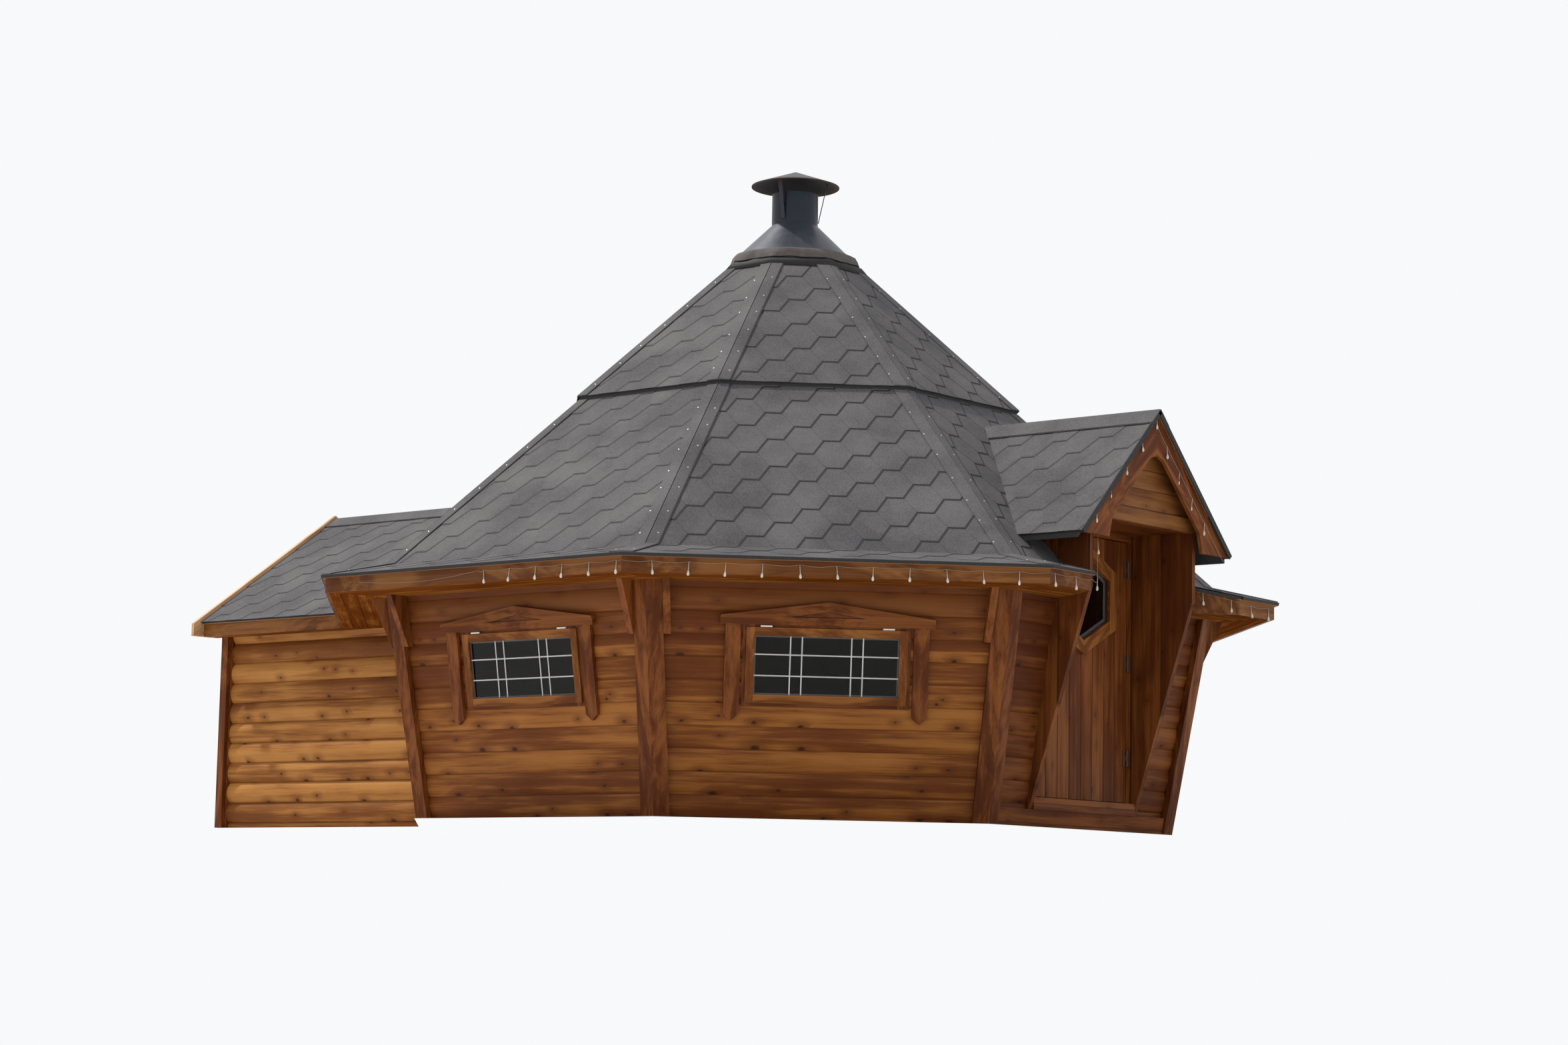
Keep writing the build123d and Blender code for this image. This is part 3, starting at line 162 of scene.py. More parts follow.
# %% The recipe class
class Recipe:
    """A node tree under construction: a material's, or the world's."""

    def __init__(self, name, owner=None):
        self.material = owner or bpy.data.materials.new(name)
        self.material.use_nodes = True
        self.tree = self.material.node_tree
        self.shader = self.tree.nodes.get("Principled BSDF")

    def add(self, kind, settings=None, sockets=None):
        """Adds a node, sets it, fills its sockets and returns its outputs by place."""
        node = self.tree.nodes.new(kind)
        for key, value in (settings or {}).items():
            setattr(node, key, value)
        for key, value in (sockets or {}).items():
            self.fill(node.inputs[key], value)
        return [Field(self, output) for output in node.outputs]

    def fill(self, socket, value):
        if isinstance(value, Field):
            self.tree.links.new(value.socket, socket)
        elif isinstance(value, tuple) and len(socket.default_value) == 4:
            socket.default_value = (*value, 1.0)
        else:
            socket.default_value = value

    def point(self):
        """The point in the model's own frame, as a vector."""
        return self.add("ShaderNodeTexCoord")[3]

    def place(self):
        """The three coordinates of that point."""
        return self.add("ShaderNodeSeparateXYZ", {}, {0: self.point()})

    def facing(self):
        """The three parts of the surface's true normal."""
        return self.add("ShaderNodeSeparateXYZ", {}, {0: self.add("ShaderNodeNewGeometry")[3]})

    def vector(self, x, y, z):
        return self.add("ShaderNodeCombineXYZ", {}, {0: x, 1: y, 2: z})[0]

    def noise(self, vector, scale, detail=3.0, rough=0.5):
        return self.add("ShaderNodeTexNoise", {}, {"Vector": vector, "Scale": scale, "Detail": detail,
                                                   "Roughness": rough})[0]

    def random(self, number):
        return self.add("ShaderNodeTexWhiteNoise", {"noise_dimensions": "1D"}, {"W": number})[0]

    def mix(self, factor, first, second):
        """Mixes two colours; a Mix node's colour sockets are its seventh and eighth."""
        return self.add("ShaderNodeMix", {"data_type": "RGBA"}, {0: factor, 6: first, 7: second})[2]

    def shine(self, **sockets):
        for name, value in sockets.items():
            self.fill(self.shader.inputs[name.replace("_", " ")], value)

    def relief(self, height, strength, distance):
        sockets = {"Strength": strength, "Distance": distance, "Height": height}
        self.fill(self.shader.inputs["Normal"], self.add("ShaderNodeBump", {}, sockets)[0])

    def blend(self, factor, first, second):
        """Sends two shaders, mixed by a factor, to the tree's output."""
        mixed = self.add("ShaderNodeMixShader", {}, {0: factor, 1: first, 2: second})[0]
        output = next(node for node in self.tree.nodes if node.bl_idname.startswith("ShaderNodeOutput"))
        self.tree.links.new(mixed.socket, output.inputs["Surface"])


def dress(names, material):
    """Gives CAD nodes a material."""
    for name in names:
        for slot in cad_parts[name].material_slots:
            slot.material = material
    print(material.name, "on", len(names), "nodes")


# %% [markdown]
# ## Stained wood
# The cabin is softwood under an orange-brown stain. Three things make it read as wood: grain that
# runs along each log or board, knots, and a tone that changes from one log to the next. The grain
# is a noise field squeezed across the board, so each direction of board needs its own coordinates.
# A direction gives three of them: along the grain, across the face, and into the board.

# %% Grain directions
def along_wall(recipe):
    """Along whichever wall of the octagon the point is on, up it and out of it."""
    x, y, z = recipe.place()
    turn = (x.angle(0.0 - y) / (pi / 4)).nearest() * (pi / 4)
    return x * turn.cosine() + y * turn.sine(), z, x * turn.sine() - y * turn.cosine()


def up_wall(recipe):
    along, height, out = along_wall(recipe)
    return height, along, out


def along_depth(recipe):
    x, y, z = recipe.place()
    return y, z, x


def along_width(recipe):
    x, y, z = recipe.place()
    return x, z, y


def up_width(recipe):
    x, y, z = recipe.place()
    return z, x, y


def up_depth(recipe):
    x, y, z = recipe.place()
    return z, 0.0 - y, x


# %% Grain that turns with the board
def either(first, second, choice):
    """The first coordinates where choice is 1, the second where it is 0."""
    return [b + (a - b) * choice for a, b in zip(first, second)]


def along_joinery(recipe):
    """Level in a window's rails and head, upright in its stiles and side boards."""
    along, height, out = along_wall(recipe)
    level = ((height > 1.045) + (along.size() < 0.397)).clamp()
    return either((along, height, out), (height, along, out), level)


def along_frame(recipe):
    """Level in the door frame's head, upright in its jambs."""
    x, y, z = recipe.place()
    return either((x, z, y), (z, x, y), z > 1.692)


def along_light(recipe):
    """Along each of the six boards round the door's light."""
    x, y, z = recipe.place()
    side, rise = x.size(), (z - 1.329).size()
    slant = radians(26.7)
    sloped = (side * cos(slant) - rise * sin(slant), side * sin(slant) + rise * cos(slant), y)
    return either((z, side, y), sloped, side > 0.264)


def along_eaves(recipe):
    """Along the main eaves, and along the annex's own eaves further back."""
    x, y, z = recipe.place()
    along, height, out = along_wall(recipe)
    return either((y, x.size() + z, x), (along, out + height, out), y > 2.765)


def down_slope(pitch):
    """Along boards that follow a gable down both sides."""
    turn = radians(pitch)

    def direction(recipe):
        x, y, z = recipe.place()
        out = x.size()
        return out * cos(turn) - z * sin(turn), out * sin(turn) + z * cos(turn), y
    return direction


# %% The wood recipe
HEART, GROOVE, PAINTED_RECESS_SHADE = (0.030, 0.009, 0.003), (0.045, 0.013, 0.004), (0.020, 0.005, 0.001)
STAINS = {
    "log": ((0.105, 0.026, 0.005), (0.245, 0.079, 0.014), (0.370, 0.148, 0.032)),
    "annex": ((0.145, 0.044, 0.008), (0.305, 0.114, 0.022), (0.450, 0.205, 0.050)),
    "red": ((0.072, 0.016, 0.003), (0.165, 0.046, 0.009), (0.250, 0.084, 0.018)),
    "orange": ((0.105, 0.028, 0.005), (0.225, 0.075, 0.014), (0.330, 0.132, 0.030)),
    "brown": ((0.082, 0.024, 0.006), (0.165, 0.058, 0.013), (0.250, 0.104, 0.029)),
    "tan": ((0.400, 0.205, 0.090), (0.610, 0.370, 0.190), (0.730, 0.490, 0.290)),
    "bare": ((0.260, 0.140, 0.060), (0.450, 0.280, 0.130), (0.580, 0.390, 0.200)),
}


def stained_wood(name, direction, stain, step=0.0, first=0.0, seam=0.4, knots=1.0, carving=None,
                 sheen=0.14):
    """Wood with grain along a direction; with a step, each log or board has its own tone and knots."""
    dark, middle, pale = STAINS[stain]
    recipe = Recipe(name)
    along, across, deep = direction(recipe)
    if step:
        cut = (across - first) / step
        tone = recipe.random(cut.whole() + (deep * 3.0).whole() * 17.3)
    else:
        cut = across * 7.0
        tone = recipe.noise(recipe.vector(along * 0.8, across * 3.0, deep * 3.0), 1.0, 1.0)
    slide = along + tone * 9.0

    def streaks(length, squeeze, detail, rough=0.5):
        spot = recipe.vector(slide * length, across * squeeze, deep * squeeze)
        return recipe.noise(spot, 1.0, detail, rough)

    broad, fine, patch = streaks(1.1, 26.0, 4.0, 0.6), streaks(6.0, 190.0, 2.0), streaks(1.6, 4.0, 2.0)
    ragged = recipe.noise(recipe.vector(along * 50.0, across * 50.0, deep * 50.0), 1.0, 2.0) * 0.09
    spots = {"Vector": recipe.vector(slide * 4.4, cut, 0.0), "Scale": 1.0}
    knot, cell = recipe.add("ShaderNodeTexVoronoi", {"voronoi_dimensions": "2D"}, spots)[:2]
    chosen = (cell < 0.50) * knots
    spread = (knot + ragged) * (cell * 1.4 + 0.55)
    core = (1.0 - spread.ramp(0.060, 0.130)) * chosen
    halo = (1.0 - spread.ramp(0.08, 0.42)) * chosen
    mask = (broad * 0.46 + fine * 0.14 + patch * 0.40 + (tone - 0.5) * 0.22).ramp(0.28, 0.72)
    colour = recipe.mix(mask, dark, middle)
    colour = recipe.mix((mask - 0.40) * 1.5, colour, pale)
    colour = recipe.mix(halo * 0.60, colour, dark)
    colour = recipe.mix(core * 0.88, colour, HEART)
    # Painted shade in a sunk recess, where a function for it is given.
    if carving:
        colour = recipe.mix(carving(recipe), colour, PAINTED_RECESS_SHADE)
    height = broad * 0.4 + fine * 0.4 - core * 0.5
    if step:
        line = cut.seam(0.05)
        colour = recipe.mix(line * seam, colour, GROOVE)
        height = height - line
    # Painted shade: on the walls the logs darken towards the top, where the eaves shade them.
    painted_eave_shade = across.ramp(0.85, 1.30) * (0.80 if direction is along_wall else 0.0)
    recipe.shine(Base_Color=recipe.mix(painted_eave_shade, colour, dark), Roughness=0.60 - mask * 0.12,
                 Specular_IOR_Level=sheen)
    recipe.relief(height, 0.30, 0.002)
    return recipe.material


def head_carving(recipe):
    """Painted shade: a dark outline and a darker floor for the low triangle sunk in a window's head."""
    along, height, out = along_wall(recipe)
    rise = height * cos(WALL_LEAN) + (out - WALL_APOTHEM) * sin(WALL_LEAN) - 1.106
    inward = ((1.0 - along.size() / 0.215) * 0.034 - rise).least(rise)
    return ((1.0 - inward.ramp(0.001, 0.006)) * 0.50 + 0.30) * (inward > 0.0)


print("stains", *STAINS)

# %% Dress the log walls
def wood(nodes, name, direction, stain, **board):
    """Dresses CAD nodes, named in one line of text, in a stained wood of their own."""
    dress(nodes.split(), stained_wood(name, direction, stain, **board))


LOGS, ANNEX_LOGS = {"step": 0.124, "seam": 0.45}, {"step": 0.132, "first": 0.033}
wood("front_left_wall left_wall back_left_wall front_right_wall right_wall back_right_wall",
     "stained_logs", along_wall, "log", **LOGS)
wood("door_wall_left door_wall_right", "stained_door_walls", along_wall, "red", **LOGS)
wood("annex_left_wall annex_right_wall", "stained_annex_sides", along_depth, "annex", **ANNEX_LOGS)
wood("annex_back_wall", "stained_annex_back", along_width, "annex", **ANNEX_LOGS)

# %% Dress the boards
PLANKS = {"step": 0.112, "first": 0.018, "seam": 0.75, "knots": 0.5}
wood("corner_boards", "stained_corners", up_wall, "red", knots=0.6)
wood("porch_cheek_left porch_cheek_right", "stained_cheeks", up_depth, "red",
     step=0.205, first=2.400, seam=0.7, knots=0.6)
wood("door_leaf", "stained_door", up_width, "red", step=0.115, first=0.0005, seam=0.5, knots=0.6)
wood("eave_brackets", "stained_brackets", up_wall, "red", knots=0.3)
wood("eave_fascia", "stained_fascia", along_eaves, "brown", knots=0.4)
wood("eave_soffit", "stained_soffit", along_eaves, "log", step=0.092, seam=0.8, knots=0.4, sheen=0.0)
wood("porch_gable", "stained_gable", along_width, "brown", **PLANKS)
wood("door_plinth door_sill", "stained_plinth", along_width, "red", **PLANKS)
wood("porch_ceiling", "stained_ceiling", along_width, "red", knots=0.3)
wood("window_sashes", "stained_sashes", along_joinery, "orange", knots=0.15)
wood("window_casings", "stained_casings", along_joinery, "red", knots=0.5, carving=head_carving)
wood("window_linings", "stained_linings", along_joinery, "red", knots=0.0)
wood("door_frame", "stained_frame", along_frame, "red", knots=0.2)
wood("door_light_trim", "stained_light_trim", along_light, "orange", knots=0.2)
wood("porch_barge_boards", "stained_barge", down_slope(45), "red", knots=0.4)
wood("annex_verge_boards", "pale_verge", down_slope(34.8), "tan", knots=0.4)
wood("floor annex_floor floor_bearers", "planed_floor", along_depth, "bare", knots=0.6)

# %% [markdown]
# ## Roofing felt
# Bitumen shingles are pressed full of stone granules: grey, dull, speckled, and no two tabs
# quite alike. Each tab's own tone comes from a colour attribute on the mesh. The roof panels under
# them show only at their edges, where black felt is folded over stained board and paints the
# shadow line under the upper stage's edge, and from inside.

# %% The felt recipes
def granule_felt(name, low, high):
    recipe = Recipe(name)
    place = recipe.point()
    tone = recipe.add("ShaderNodeAttribute", {"attribute_name": "tone"})[2]
    speckle = recipe.noise(place, 420.0, 2.0, 0.7)
    grit = recipe.noise(place, 120.0, 2.0, 0.6)
    cloud = recipe.noise(place, 2.3, 4.0, 0.6)
    mask = (tone * 0.20 + speckle.ramp(0.40, 0.68) * 0.30 + grit.ramp(0.36, 0.66) * 0.22
            + cloud.ramp(0.28, 0.72) * 0.32).clamp()
    recipe.shine(Base_Color=recipe.mix(mask, low, high), Roughness=0.95 - speckle * 0.12,
                 Specular_IOR_Level=0.2)
    recipe.relief(speckle + grit, 0.45, 0.002)
    return recipe.material


# Near-black bitumen: real on the drip edge, the porch rims and the collar, and painted shadow where it draws
# the dark lines under the shingles' feet and shoulders, at the edges of the hip and ridge strips, and in the
# gap under the collar skirt.
def bitumen_and_painted_shadow():
    recipe = Recipe("bitumen_and_painted_shadow")
    grit = recipe.noise(recipe.point(), 90.0, 2.0)
    colour = recipe.mix(grit, (0.006, 0.006, 0.007), (0.022, 0.021, 0.022))
    recipe.shine(Base_Color=colour, Roughness=0.8 - grit * 0.1)
    recipe.relief(grit, 0.3, 0.001)
    return recipe.material


def roof_panel_finish(name, line, reach):
    """Black felt on the edges above a line, which also paints the shadow line under the upper stage's edge;
    stained board below it, planed board inside a reach.
    """
    recipe = Recipe(name)
    x, y, z = recipe.place()
    up = recipe.facing()[2]
    inside = (1.0 - up.ramp(-0.45, -0.25) + (up.size() < 0.2) * (z < line)).clamp() * (x.size() < reach)
    grain = recipe.noise(recipe.vector(x * 3.0, y * 3.0, z * 60.0), 1.0, 3.0)
    board = recipe.mix(grain, (0.22, 0.080, 0.022), (0.42, 0.190, 0.060))
    board = recipe.mix((z / 0.09).seam(0.05) * (z > 1.7) * 0.7, board, (0.08, 0.035, 0.012))
    speckle = recipe.noise(recipe.vector(x, y, z), 200.0, 2.0)
    # Near-black on the edges: felt folded over, and painted shade on the upper stage's lower edge.
    felt = recipe.mix(speckle, (0.010, 0.010, 0.011), (0.050, 0.049, 0.050))
    recipe.shine(Base_Color=recipe.mix(inside, felt, board), Roughness=0.9 - inside * 0.3)
    recipe.relief(grain, 0.2, 0.001)
    return recipe.material


FELT = granule_felt("granule_felt", (0.037, 0.037, 0.042), (0.184, 0.177, 0.178))
BITUMEN_AND_SHADOW = bitumen_and_painted_shadow()
panels = [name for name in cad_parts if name.startswith("roof_") and name != "roof_collar"]
panels += ["upper_roof", "annex_roof_left", "annex_roof_right"]
dress(panels, roof_panel_finish("roof_panels", line=1.355, reach=9.0))
dress(["porch_roof_left", "porch_roof_right"], roof_panel_finish("porch_panels", line=1.580, reach=0.53))
dress(["roof_collar"], BITUMEN_AND_SHADOW)

# %% [markdown]
# ## Sheet metal, glass and fittings
# The chimney is sheet steel under dark blue-grey paint, with rust where water sits at the rims.
# The glass is tinted and clear, so the dark room behind it does most of the work.

# %% Chimney paint
def chimney_paint(name, dark, pale, rim=0.0):
    """Paint with rust at a rim's height, and painted shade on the faces that look down."""
    recipe = Recipe(name)
    x, y, z = recipe.place()
    cloud = recipe.noise(recipe.vector(x, y, z), 9.0, 4.0, 0.6)
    runs = recipe.noise(recipe.vector(x.angle(y) * 7.0, z * 1.2, 0.0), 2.0, 3.0)
    paint = recipe.mix(cloud * 0.6 + runs * 0.4, dark, pale)
    rust = ((1.0 - (z - rim).size().ramp(0.0, 0.020)) * cloud * 1.8).clamp()
    colour = recipe.mix(rust, paint, (0.075, 0.028, 0.012))
    # Painted shade: near black on the faces that look down.
    painted_underside_shade = (recipe.facing()[2] < -0.5) * (1.0 - rust) * 0.95
    colour = recipe.mix(painted_underside_shade, colour, (0.004, 0.004, 0.005))
    recipe.shine(Base_Color=colour, Roughness=0.30 + (rust + painted_underside_shade) * 0.5 + cloud * 0.12,
                 Metallic=0.4 - (rust + painted_underside_shade) * 0.4, Specular_IOR_Level=0.35)
    recipe.relief(cloud + rust, 0.15, 0.002)
    return recipe.material


# The cone's paint is lighter than the pipe's and the hat's: painted light for the sun on the cone.
dress(["chimney_cone"], chimney_paint("lit_cone_paint", (0.022, 0.027, 0.036), (0.120, 0.132, 0.160)))
dress(["chimney_pipe"], chimney_paint("pipe_paint", (0.008, 0.011, 0.018), (0.030, 0.036, 0.052)))
dress(["rain_hat"], chimney_paint("hat_paint", (0.010, 0.012, 0.018), (0.040, 0.046, 0.060), rim=4.012))

# %% Glass, steel and white plastic
def plain_finish(name, colour, varied, roughness, metallic=0.0, scale=60.0, bump=0.1):
    recipe = Recipe(name)
    cloud = recipe.noise(recipe.point(), scale, 3.0)
    recipe.shine(Base_Color=recipe.mix(cloud, colour, varied), Roughness=cloud * 0.12 + roughness,
                 Metallic=metallic)
    recipe.relief(cloud, bump, 0.001)
    return recipe.material


def clear_glass(name, bend):
    recipe = Recipe(name)
    dust = recipe.noise(recipe.point(), 3.0, 4.0)
    tint = recipe.mix(dust, (0.14, 0.17, 0.15), (0.21, 0.25, 0.22))
    recipe.shine(Base_Color=tint, Roughness=dust * 0.04, Transmission_Weight=1.0, IOR=bend)
    return recipe.material


HARDWARE = plain_finish("brown_hardware", (0.075, 0.034, 0.018), (0.120, 0.056, 0.030), 0.50, 0.3)
CAME = plain_finish("window_came", (0.42, 0.43, 0.44), (0.62, 0.63, 0.64), 0.42, 0.2)
BORDER = plain_finish("pane_border", (0.050, 0.052, 0.060), (0.105, 0.108, 0.120), 0.5, 0.1)
WHITE = plain_finish("white_plastic", (0.74, 0.72, 0.66), (0.85, 0.84, 0.80), 0.35)
LAMP = plain_finish("lamp_plastic", (0.52, 0.47, 0.40), (0.70, 0.65, 0.57), 0.35)
STEM_WIRE = plain_finish("clear_wire", (0.34, 0.31, 0.26), (0.50, 0.47, 0.42), 0.35)
LEAD = plain_finish("thin_lead", (0.27, 0.20, 0.14), (0.42, 0.33, 0.25), 0.45)
NAIL = plain_finish("zinc_nail", (0.46, 0.46, 0.48), (0.70, 0.70, 0.72), 0.35, 0.4)
dress(["window_glass"], clear_glass("window_glass", 1.24))
dress(["door_glass"], clear_glass("door_glass", 1.60))
dress(["frame_hinges", "door_hinges", "door_handle"], HARDWARE)

# %% [markdown]
# ## Making meshes
# Every added piece is a plain mesh in the model's frame. One builder collects faces, each with a
# material number and a tone, and makes one object from them at the end, because a few large
# objects are quicker to handle than thousands of small ones.

# %% The mesh builder
def into_scene(name, data):
    """Makes an object of a mesh, a light or a camera and links it to the scene."""
    made = bpy.data.objects.new(name, data)
    bpy.context.scene.collection.objects.link(made)
    return made


def rectangle(left, near, right, far):
    return [(left, near), (right, near), (right, far), (left, far)]


class Piece:
    """Collects faces in the model's frame and makes one object of them."""

    def __init__(self, *materials):
        self.materials = materials
        self.points, self.faces, self.marks = [], [], []

    def slab(self, place, outline, low, high, material=0, tone=0.5):
        """A flat outline between two heights; a height may be a function of the point."""
        count, start = len(outline), len(self.points)
        for height in (low, high):
            for x, y in outline:
                self.points.append(place @ Vector((x, y, height(x, y) if callable(height) else height)))
        turn = sum(a[0] * b[1] - b[0] * a[1] for a, b in zip(outline[-1:] + outline, outline))
        order = list(range(count)) if turn > 0 else list(reversed(range(count)))
        faces = [[start + n for n in reversed(order)], [start + count + n for n in order]]
        for n in range(count):
            a, b = order[n - 1], order[n]
            faces.append([start + a, start + b, start + count + b, start + count + a])
        self.faces += faces
        self.marks += [(material, tone)] * len(faces)

    def block(self, place, low, high, material=0, tone=0.5):
        """A box between two opposite corners; only their heights have to be in order."""
        self.slab(place, rectangle(*low[:2], *high[:2]), low[2], high[2], material, tone)

    def rings(self, loops, material=0, closed=False):
        """Skins a row of loops that all have the same number of points."""
        start, steps = len(self.points), len(loops[0])
        for loop in loops:
            self.points += loop
        for row in range(len(loops) - (0 if closed else 1)):
            after = (row + 1) % len(loops)
            for n in range(steps):
                a, b = start + row * steps + n, start + row * steps + (n + 1) % steps
                c, d = start + after * steps + (n + 1) % steps, start + after * steps + n
                self.faces.append([a, b, c, d])
                self.marks.append((material(row) if callable(material) else material, 0.5))

    def lathe(self, place, profile, steps=10, material=0):
        """A profile of (radius, height) turned round the place's third axis."""
        turns = [2 * pi * n / steps for n in range(steps)]
        self.rings([[place @ Vector((radius * cos(turn), radius * sin(turn), height)) for turn in turns]
                    for radius, height in profile], material)

    def tube(self, path, radius, steps=5, material=0):
        """A round bar along a list of points."""
        loops = []
        for n, point in enumerate(path):
            ahead = (path[min(n + 1, len(path) - 1)] - path[max(n - 1, 0)]).normalized()
            side = ahead.cross(UP if abs(ahead.z) < 0.95 else RIGHT).normalized()
            other = ahead.cross(side)
            loops.append([point + side * (radius * cos(turn)) + other * (radius * sin(turn))
                          for turn in (2 * pi * k / steps for k in range(steps))])
        self.rings(loops, material)

    def cut(self, *planes):
        """Keeps what is behind every (point, normal) plane."""
        mesh = bmesh.new()
        keys = mesh.faces.layers.float.new("tone")
        verts = [mesh.verts.new(point) for point in self.points]
        for face, (material, tone) in zip(self.faces, self.marks):
            made = mesh.faces.new([verts[n] for n in face])
            made.material_index, made[keys] = material, tone
        for point, normal in planes:
            geometry = mesh.verts[:] + mesh.edges[:] + mesh.faces[:]
            bmesh.ops.bisect_plane(mesh, geom=geometry, dist=1e-5, plane_co=point, plane_no=normal,
                                   clear_outer=True)
        self.points = [vert.co.copy() for vert in mesh.verts]
        mesh.verts.index_update()
        self.faces = [[vert.index for vert in face.verts] for face in mesh.faces]
        self.marks = [(face.material_index, face[keys]) for face in mesh.faces]
        mesh.free()
        return self

    def copy(self):
        return Piece(*self.materials).join(self)

    def join(self, other):
        start = len(self.points)
        self.points += other.points
        self.faces += [[start + n for n in face] for face in other.faces]
        self.marks += other.marks
        return self

    def make(self, name, slot, body="cabin", smooth=False):
        """Writes the mesh, its tones and its materials, and rides it on its body."""
        mesh = bpy.data.meshes.new(name)
        mesh.from_pydata([tuple(point) for point in self.points], [], self.faces)
        tones = [tone for face, (_, tone) in zip(self.faces, self.marks) for _ in face]
        mesh.attributes.new("tone", "FLOAT", "CORNER").data.foreach_set("value", tones)
        for polygon, (material, _) in zip(mesh.polygons, self.marks):
            polygon.material_index, polygon.use_smooth = material, smooth
        for material in self.materials:
            mesh.materials.append(material)
        mesh.update()
        made = into_scene(name, mesh)
        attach(made, body)
        print(name, "faces", len(self.faces))


# %% Places on the cabin
def axes(along, up, normal, origin):
    """A place with its three axes as columns."""
    return Matrix(((along.x, up.x, normal.x, origin.x), (along.y, up.y, normal.y, origin.y),
                   (along.z, up.z, normal.z, origin.z), (0, 0, 0, 1)))


def slope_place(azimuth, radius, height, pitch):
    """x runs along the side, y up the slope and z out of it."""
    out = outward(azimuth)
    return axes(sideways(azimuth), UP * sin(pitch) - out * cos(pitch), out * sin(pitch) + UP * cos(pitch),
                out * radius + UP * height)


def wall_place(azimuth):
    """x runs along the wall, y up its lean and z out of it."""
    out = outward(azimuth)
    return axes(sideways(azimuth), out * sin(WALL_LEAN) + UP * cos(WALL_LEAN),
                out * cos(WALL_LEAN) - UP * sin(WALL_LEAN), out * WALL_APOTHEM)


print("the front wall's outward direction", wall_place(0).col[2].to_3d())

# %% [markdown]
# ## Where the roofs meet
# Shingles are laid too wide and then trimmed by planes, as a roofer trims them with a knife. The
# planes are the hips, the faces of the porch and annex roofs, and the slanted notch that the
# porch leaves in the eaves.

# %% Trimming planes
CHEEK_CUT = 0.540


def up_to(direction, reach=0.0):
    """A plane, as a point and a normal, that keeps what reaches no further along a direction."""
    return direction * reach, direction


def gable_faces(ridge, pitch):
    """For each hand, the plane of a gable roof's face."""
    return {hand: (UP * ridge, RIGHT * (hand * sin(pitch)) + UP * cos(pitch)) for hand in (-1, 1)}


def hip_planes(azimuth):
    """The two mitre planes at the ends of a side."""
    return up_to(sideways(azimuth + 22.5)), up_to(-sideways(azimuth - 22.5))


def slope_planes(place, start, stop):
    """Planes across the slope at two distances up it."""
    up = place.col[1].to_3d()
    return (place @ Vector((0, start, 0)), -up), (place @ Vector((0, stop, 0)), up)


def beside_porch(hand):
    """Keeps what is outside the porch cheek and its notch, on one hand."""
    slant = Vector((-hand * NOTCH_DEPTH, CHEEK_OUTER - PORCH_HALF, 0)).normalized()
    return up_to(RIGHT * -hand, -CHEEK_CUT), (Vector((hand * PORCH_HALF, -EAVE_RADIUS, 0)), slant)


def above_face(faces, hand):
    """Keeps what is above a gable roof's face, on one hand of the ridge."""
    point, normal = faces[hand]
    return (point, -normal), up_to(RIGHT * -hand)


PORCH_FACES, ANNEX_FACES = gable_faces(PORCH_RIDGE, PORCH_PITCH), gable_faces(ANNEX_RIDGE, ANNEX_PITCH)
print("annex ridge at", round(ANNEX_RIDGE, 3))

# %% [markdown]
# ## Hexagonal shingles
# Each shingle strip is a row of tabs with a flat foot and two slanted shoulders, and the next row
# covers its upper half, moved along by half a tab. A tab is a thin wedge, so each row's foot
# stands a few millimetres proud. Under its foot and its right shoulder a thin black lip is painted
# shadow, which draws the dark stair-like lines on the roof.

# %% Lay the tabs
TAB_PITCH, TAB_FOOT, TAB_RISE, TAB_LAP, SHADOW_LIP, WEDGE = 0.320, 0.093, 0.130, 0.028, 0.009, 0.012
UNDERSIDE, FACE, SHADOW_LIP_FACE = 0.0036, 0.0062, 0.0054
luck = random.Random(7)


def tab_outlines(middle, foot):
    """The tab's tapered foot and its full-width upper part: both convex, so that a cut stays clean."""
    half, flat, shoulder = TAB_PITCH / 2, TAB_FOOT / 2, foot + TAB_RISE
    left, right, top = middle - half, middle + half, shoulder + TAB_RISE + TAB_LAP
    return ([(middle - flat, foot), (middle + flat, foot), (right - flat, shoulder), (left + flat, shoulder)],
            [(left, shoulder), (right, shoulder), (right, top), (left, top)])


def shadow_lip_outline(middle, foot):
    half, flat = TAB_PITCH / 2, TAB_FOOT / 2
    return [(middle - flat + SHADOW_LIP, foot - SHADOW_LIP), (middle + flat + SHADOW_LIP, foot - SHADOW_LIP),
            (middle + half - flat + SHADOW_LIP, foot + TAB_RISE - SHADOW_LIP), (middle + half - flat, foot + TAB_RISE),
            (middle - flat + SHADOW_LIP, foot + 0.01)]


def wedge(foot, height):
    """A height that falls up the slope, so that each row's foot stands proud."""
    return lambda x, y: height - (y - foot) * WEDGE


def lay_shingles(place, half_width, start, stop, shift=0.0, first=0):
    """Rows of tabs from start to stop up the slope, wide enough for any trim."""
    piece = Piece(FELT, BITUMEN_AND_SHADOW)
    for row in range(-1, int((stop - start) / TAB_RISE) + 2):
        foot = start + row * TAB_RISE
        offset = shift + (TAB_PITCH / 2 if (row + first) % 2 else 0.0)
        count = int(half_width / TAB_PITCH) + 2
        for n in range(-count, count + 1):
            middle = n * TAB_PITCH + offset
            tone = luck.uniform(0.36, 0.64)
            for outline in tab_outlines(middle, foot):
                piece.slab(place, outline, wedge(foot, UNDERSIDE), wedge(foot, FACE), 0, tone)
            # Painted shadow: a thin black lip under the tab's foot and right shoulder.
            piece.slab(place, shadow_lip_outline(middle, foot), 0.001, wedge(foot, SHADOW_LIP_FACE), 1)
    return piece


print("tabs", TAB_PITCH, "m wide, rows", TAB_RISE, "m apart")

# %% [markdown]
# ## The main roof's lower stage
# Eight sides, each with a flared foot and a steep face. The rows run on over the bend without a
# break. The door side parts round the porch, and the back sides stop at the annex roof.

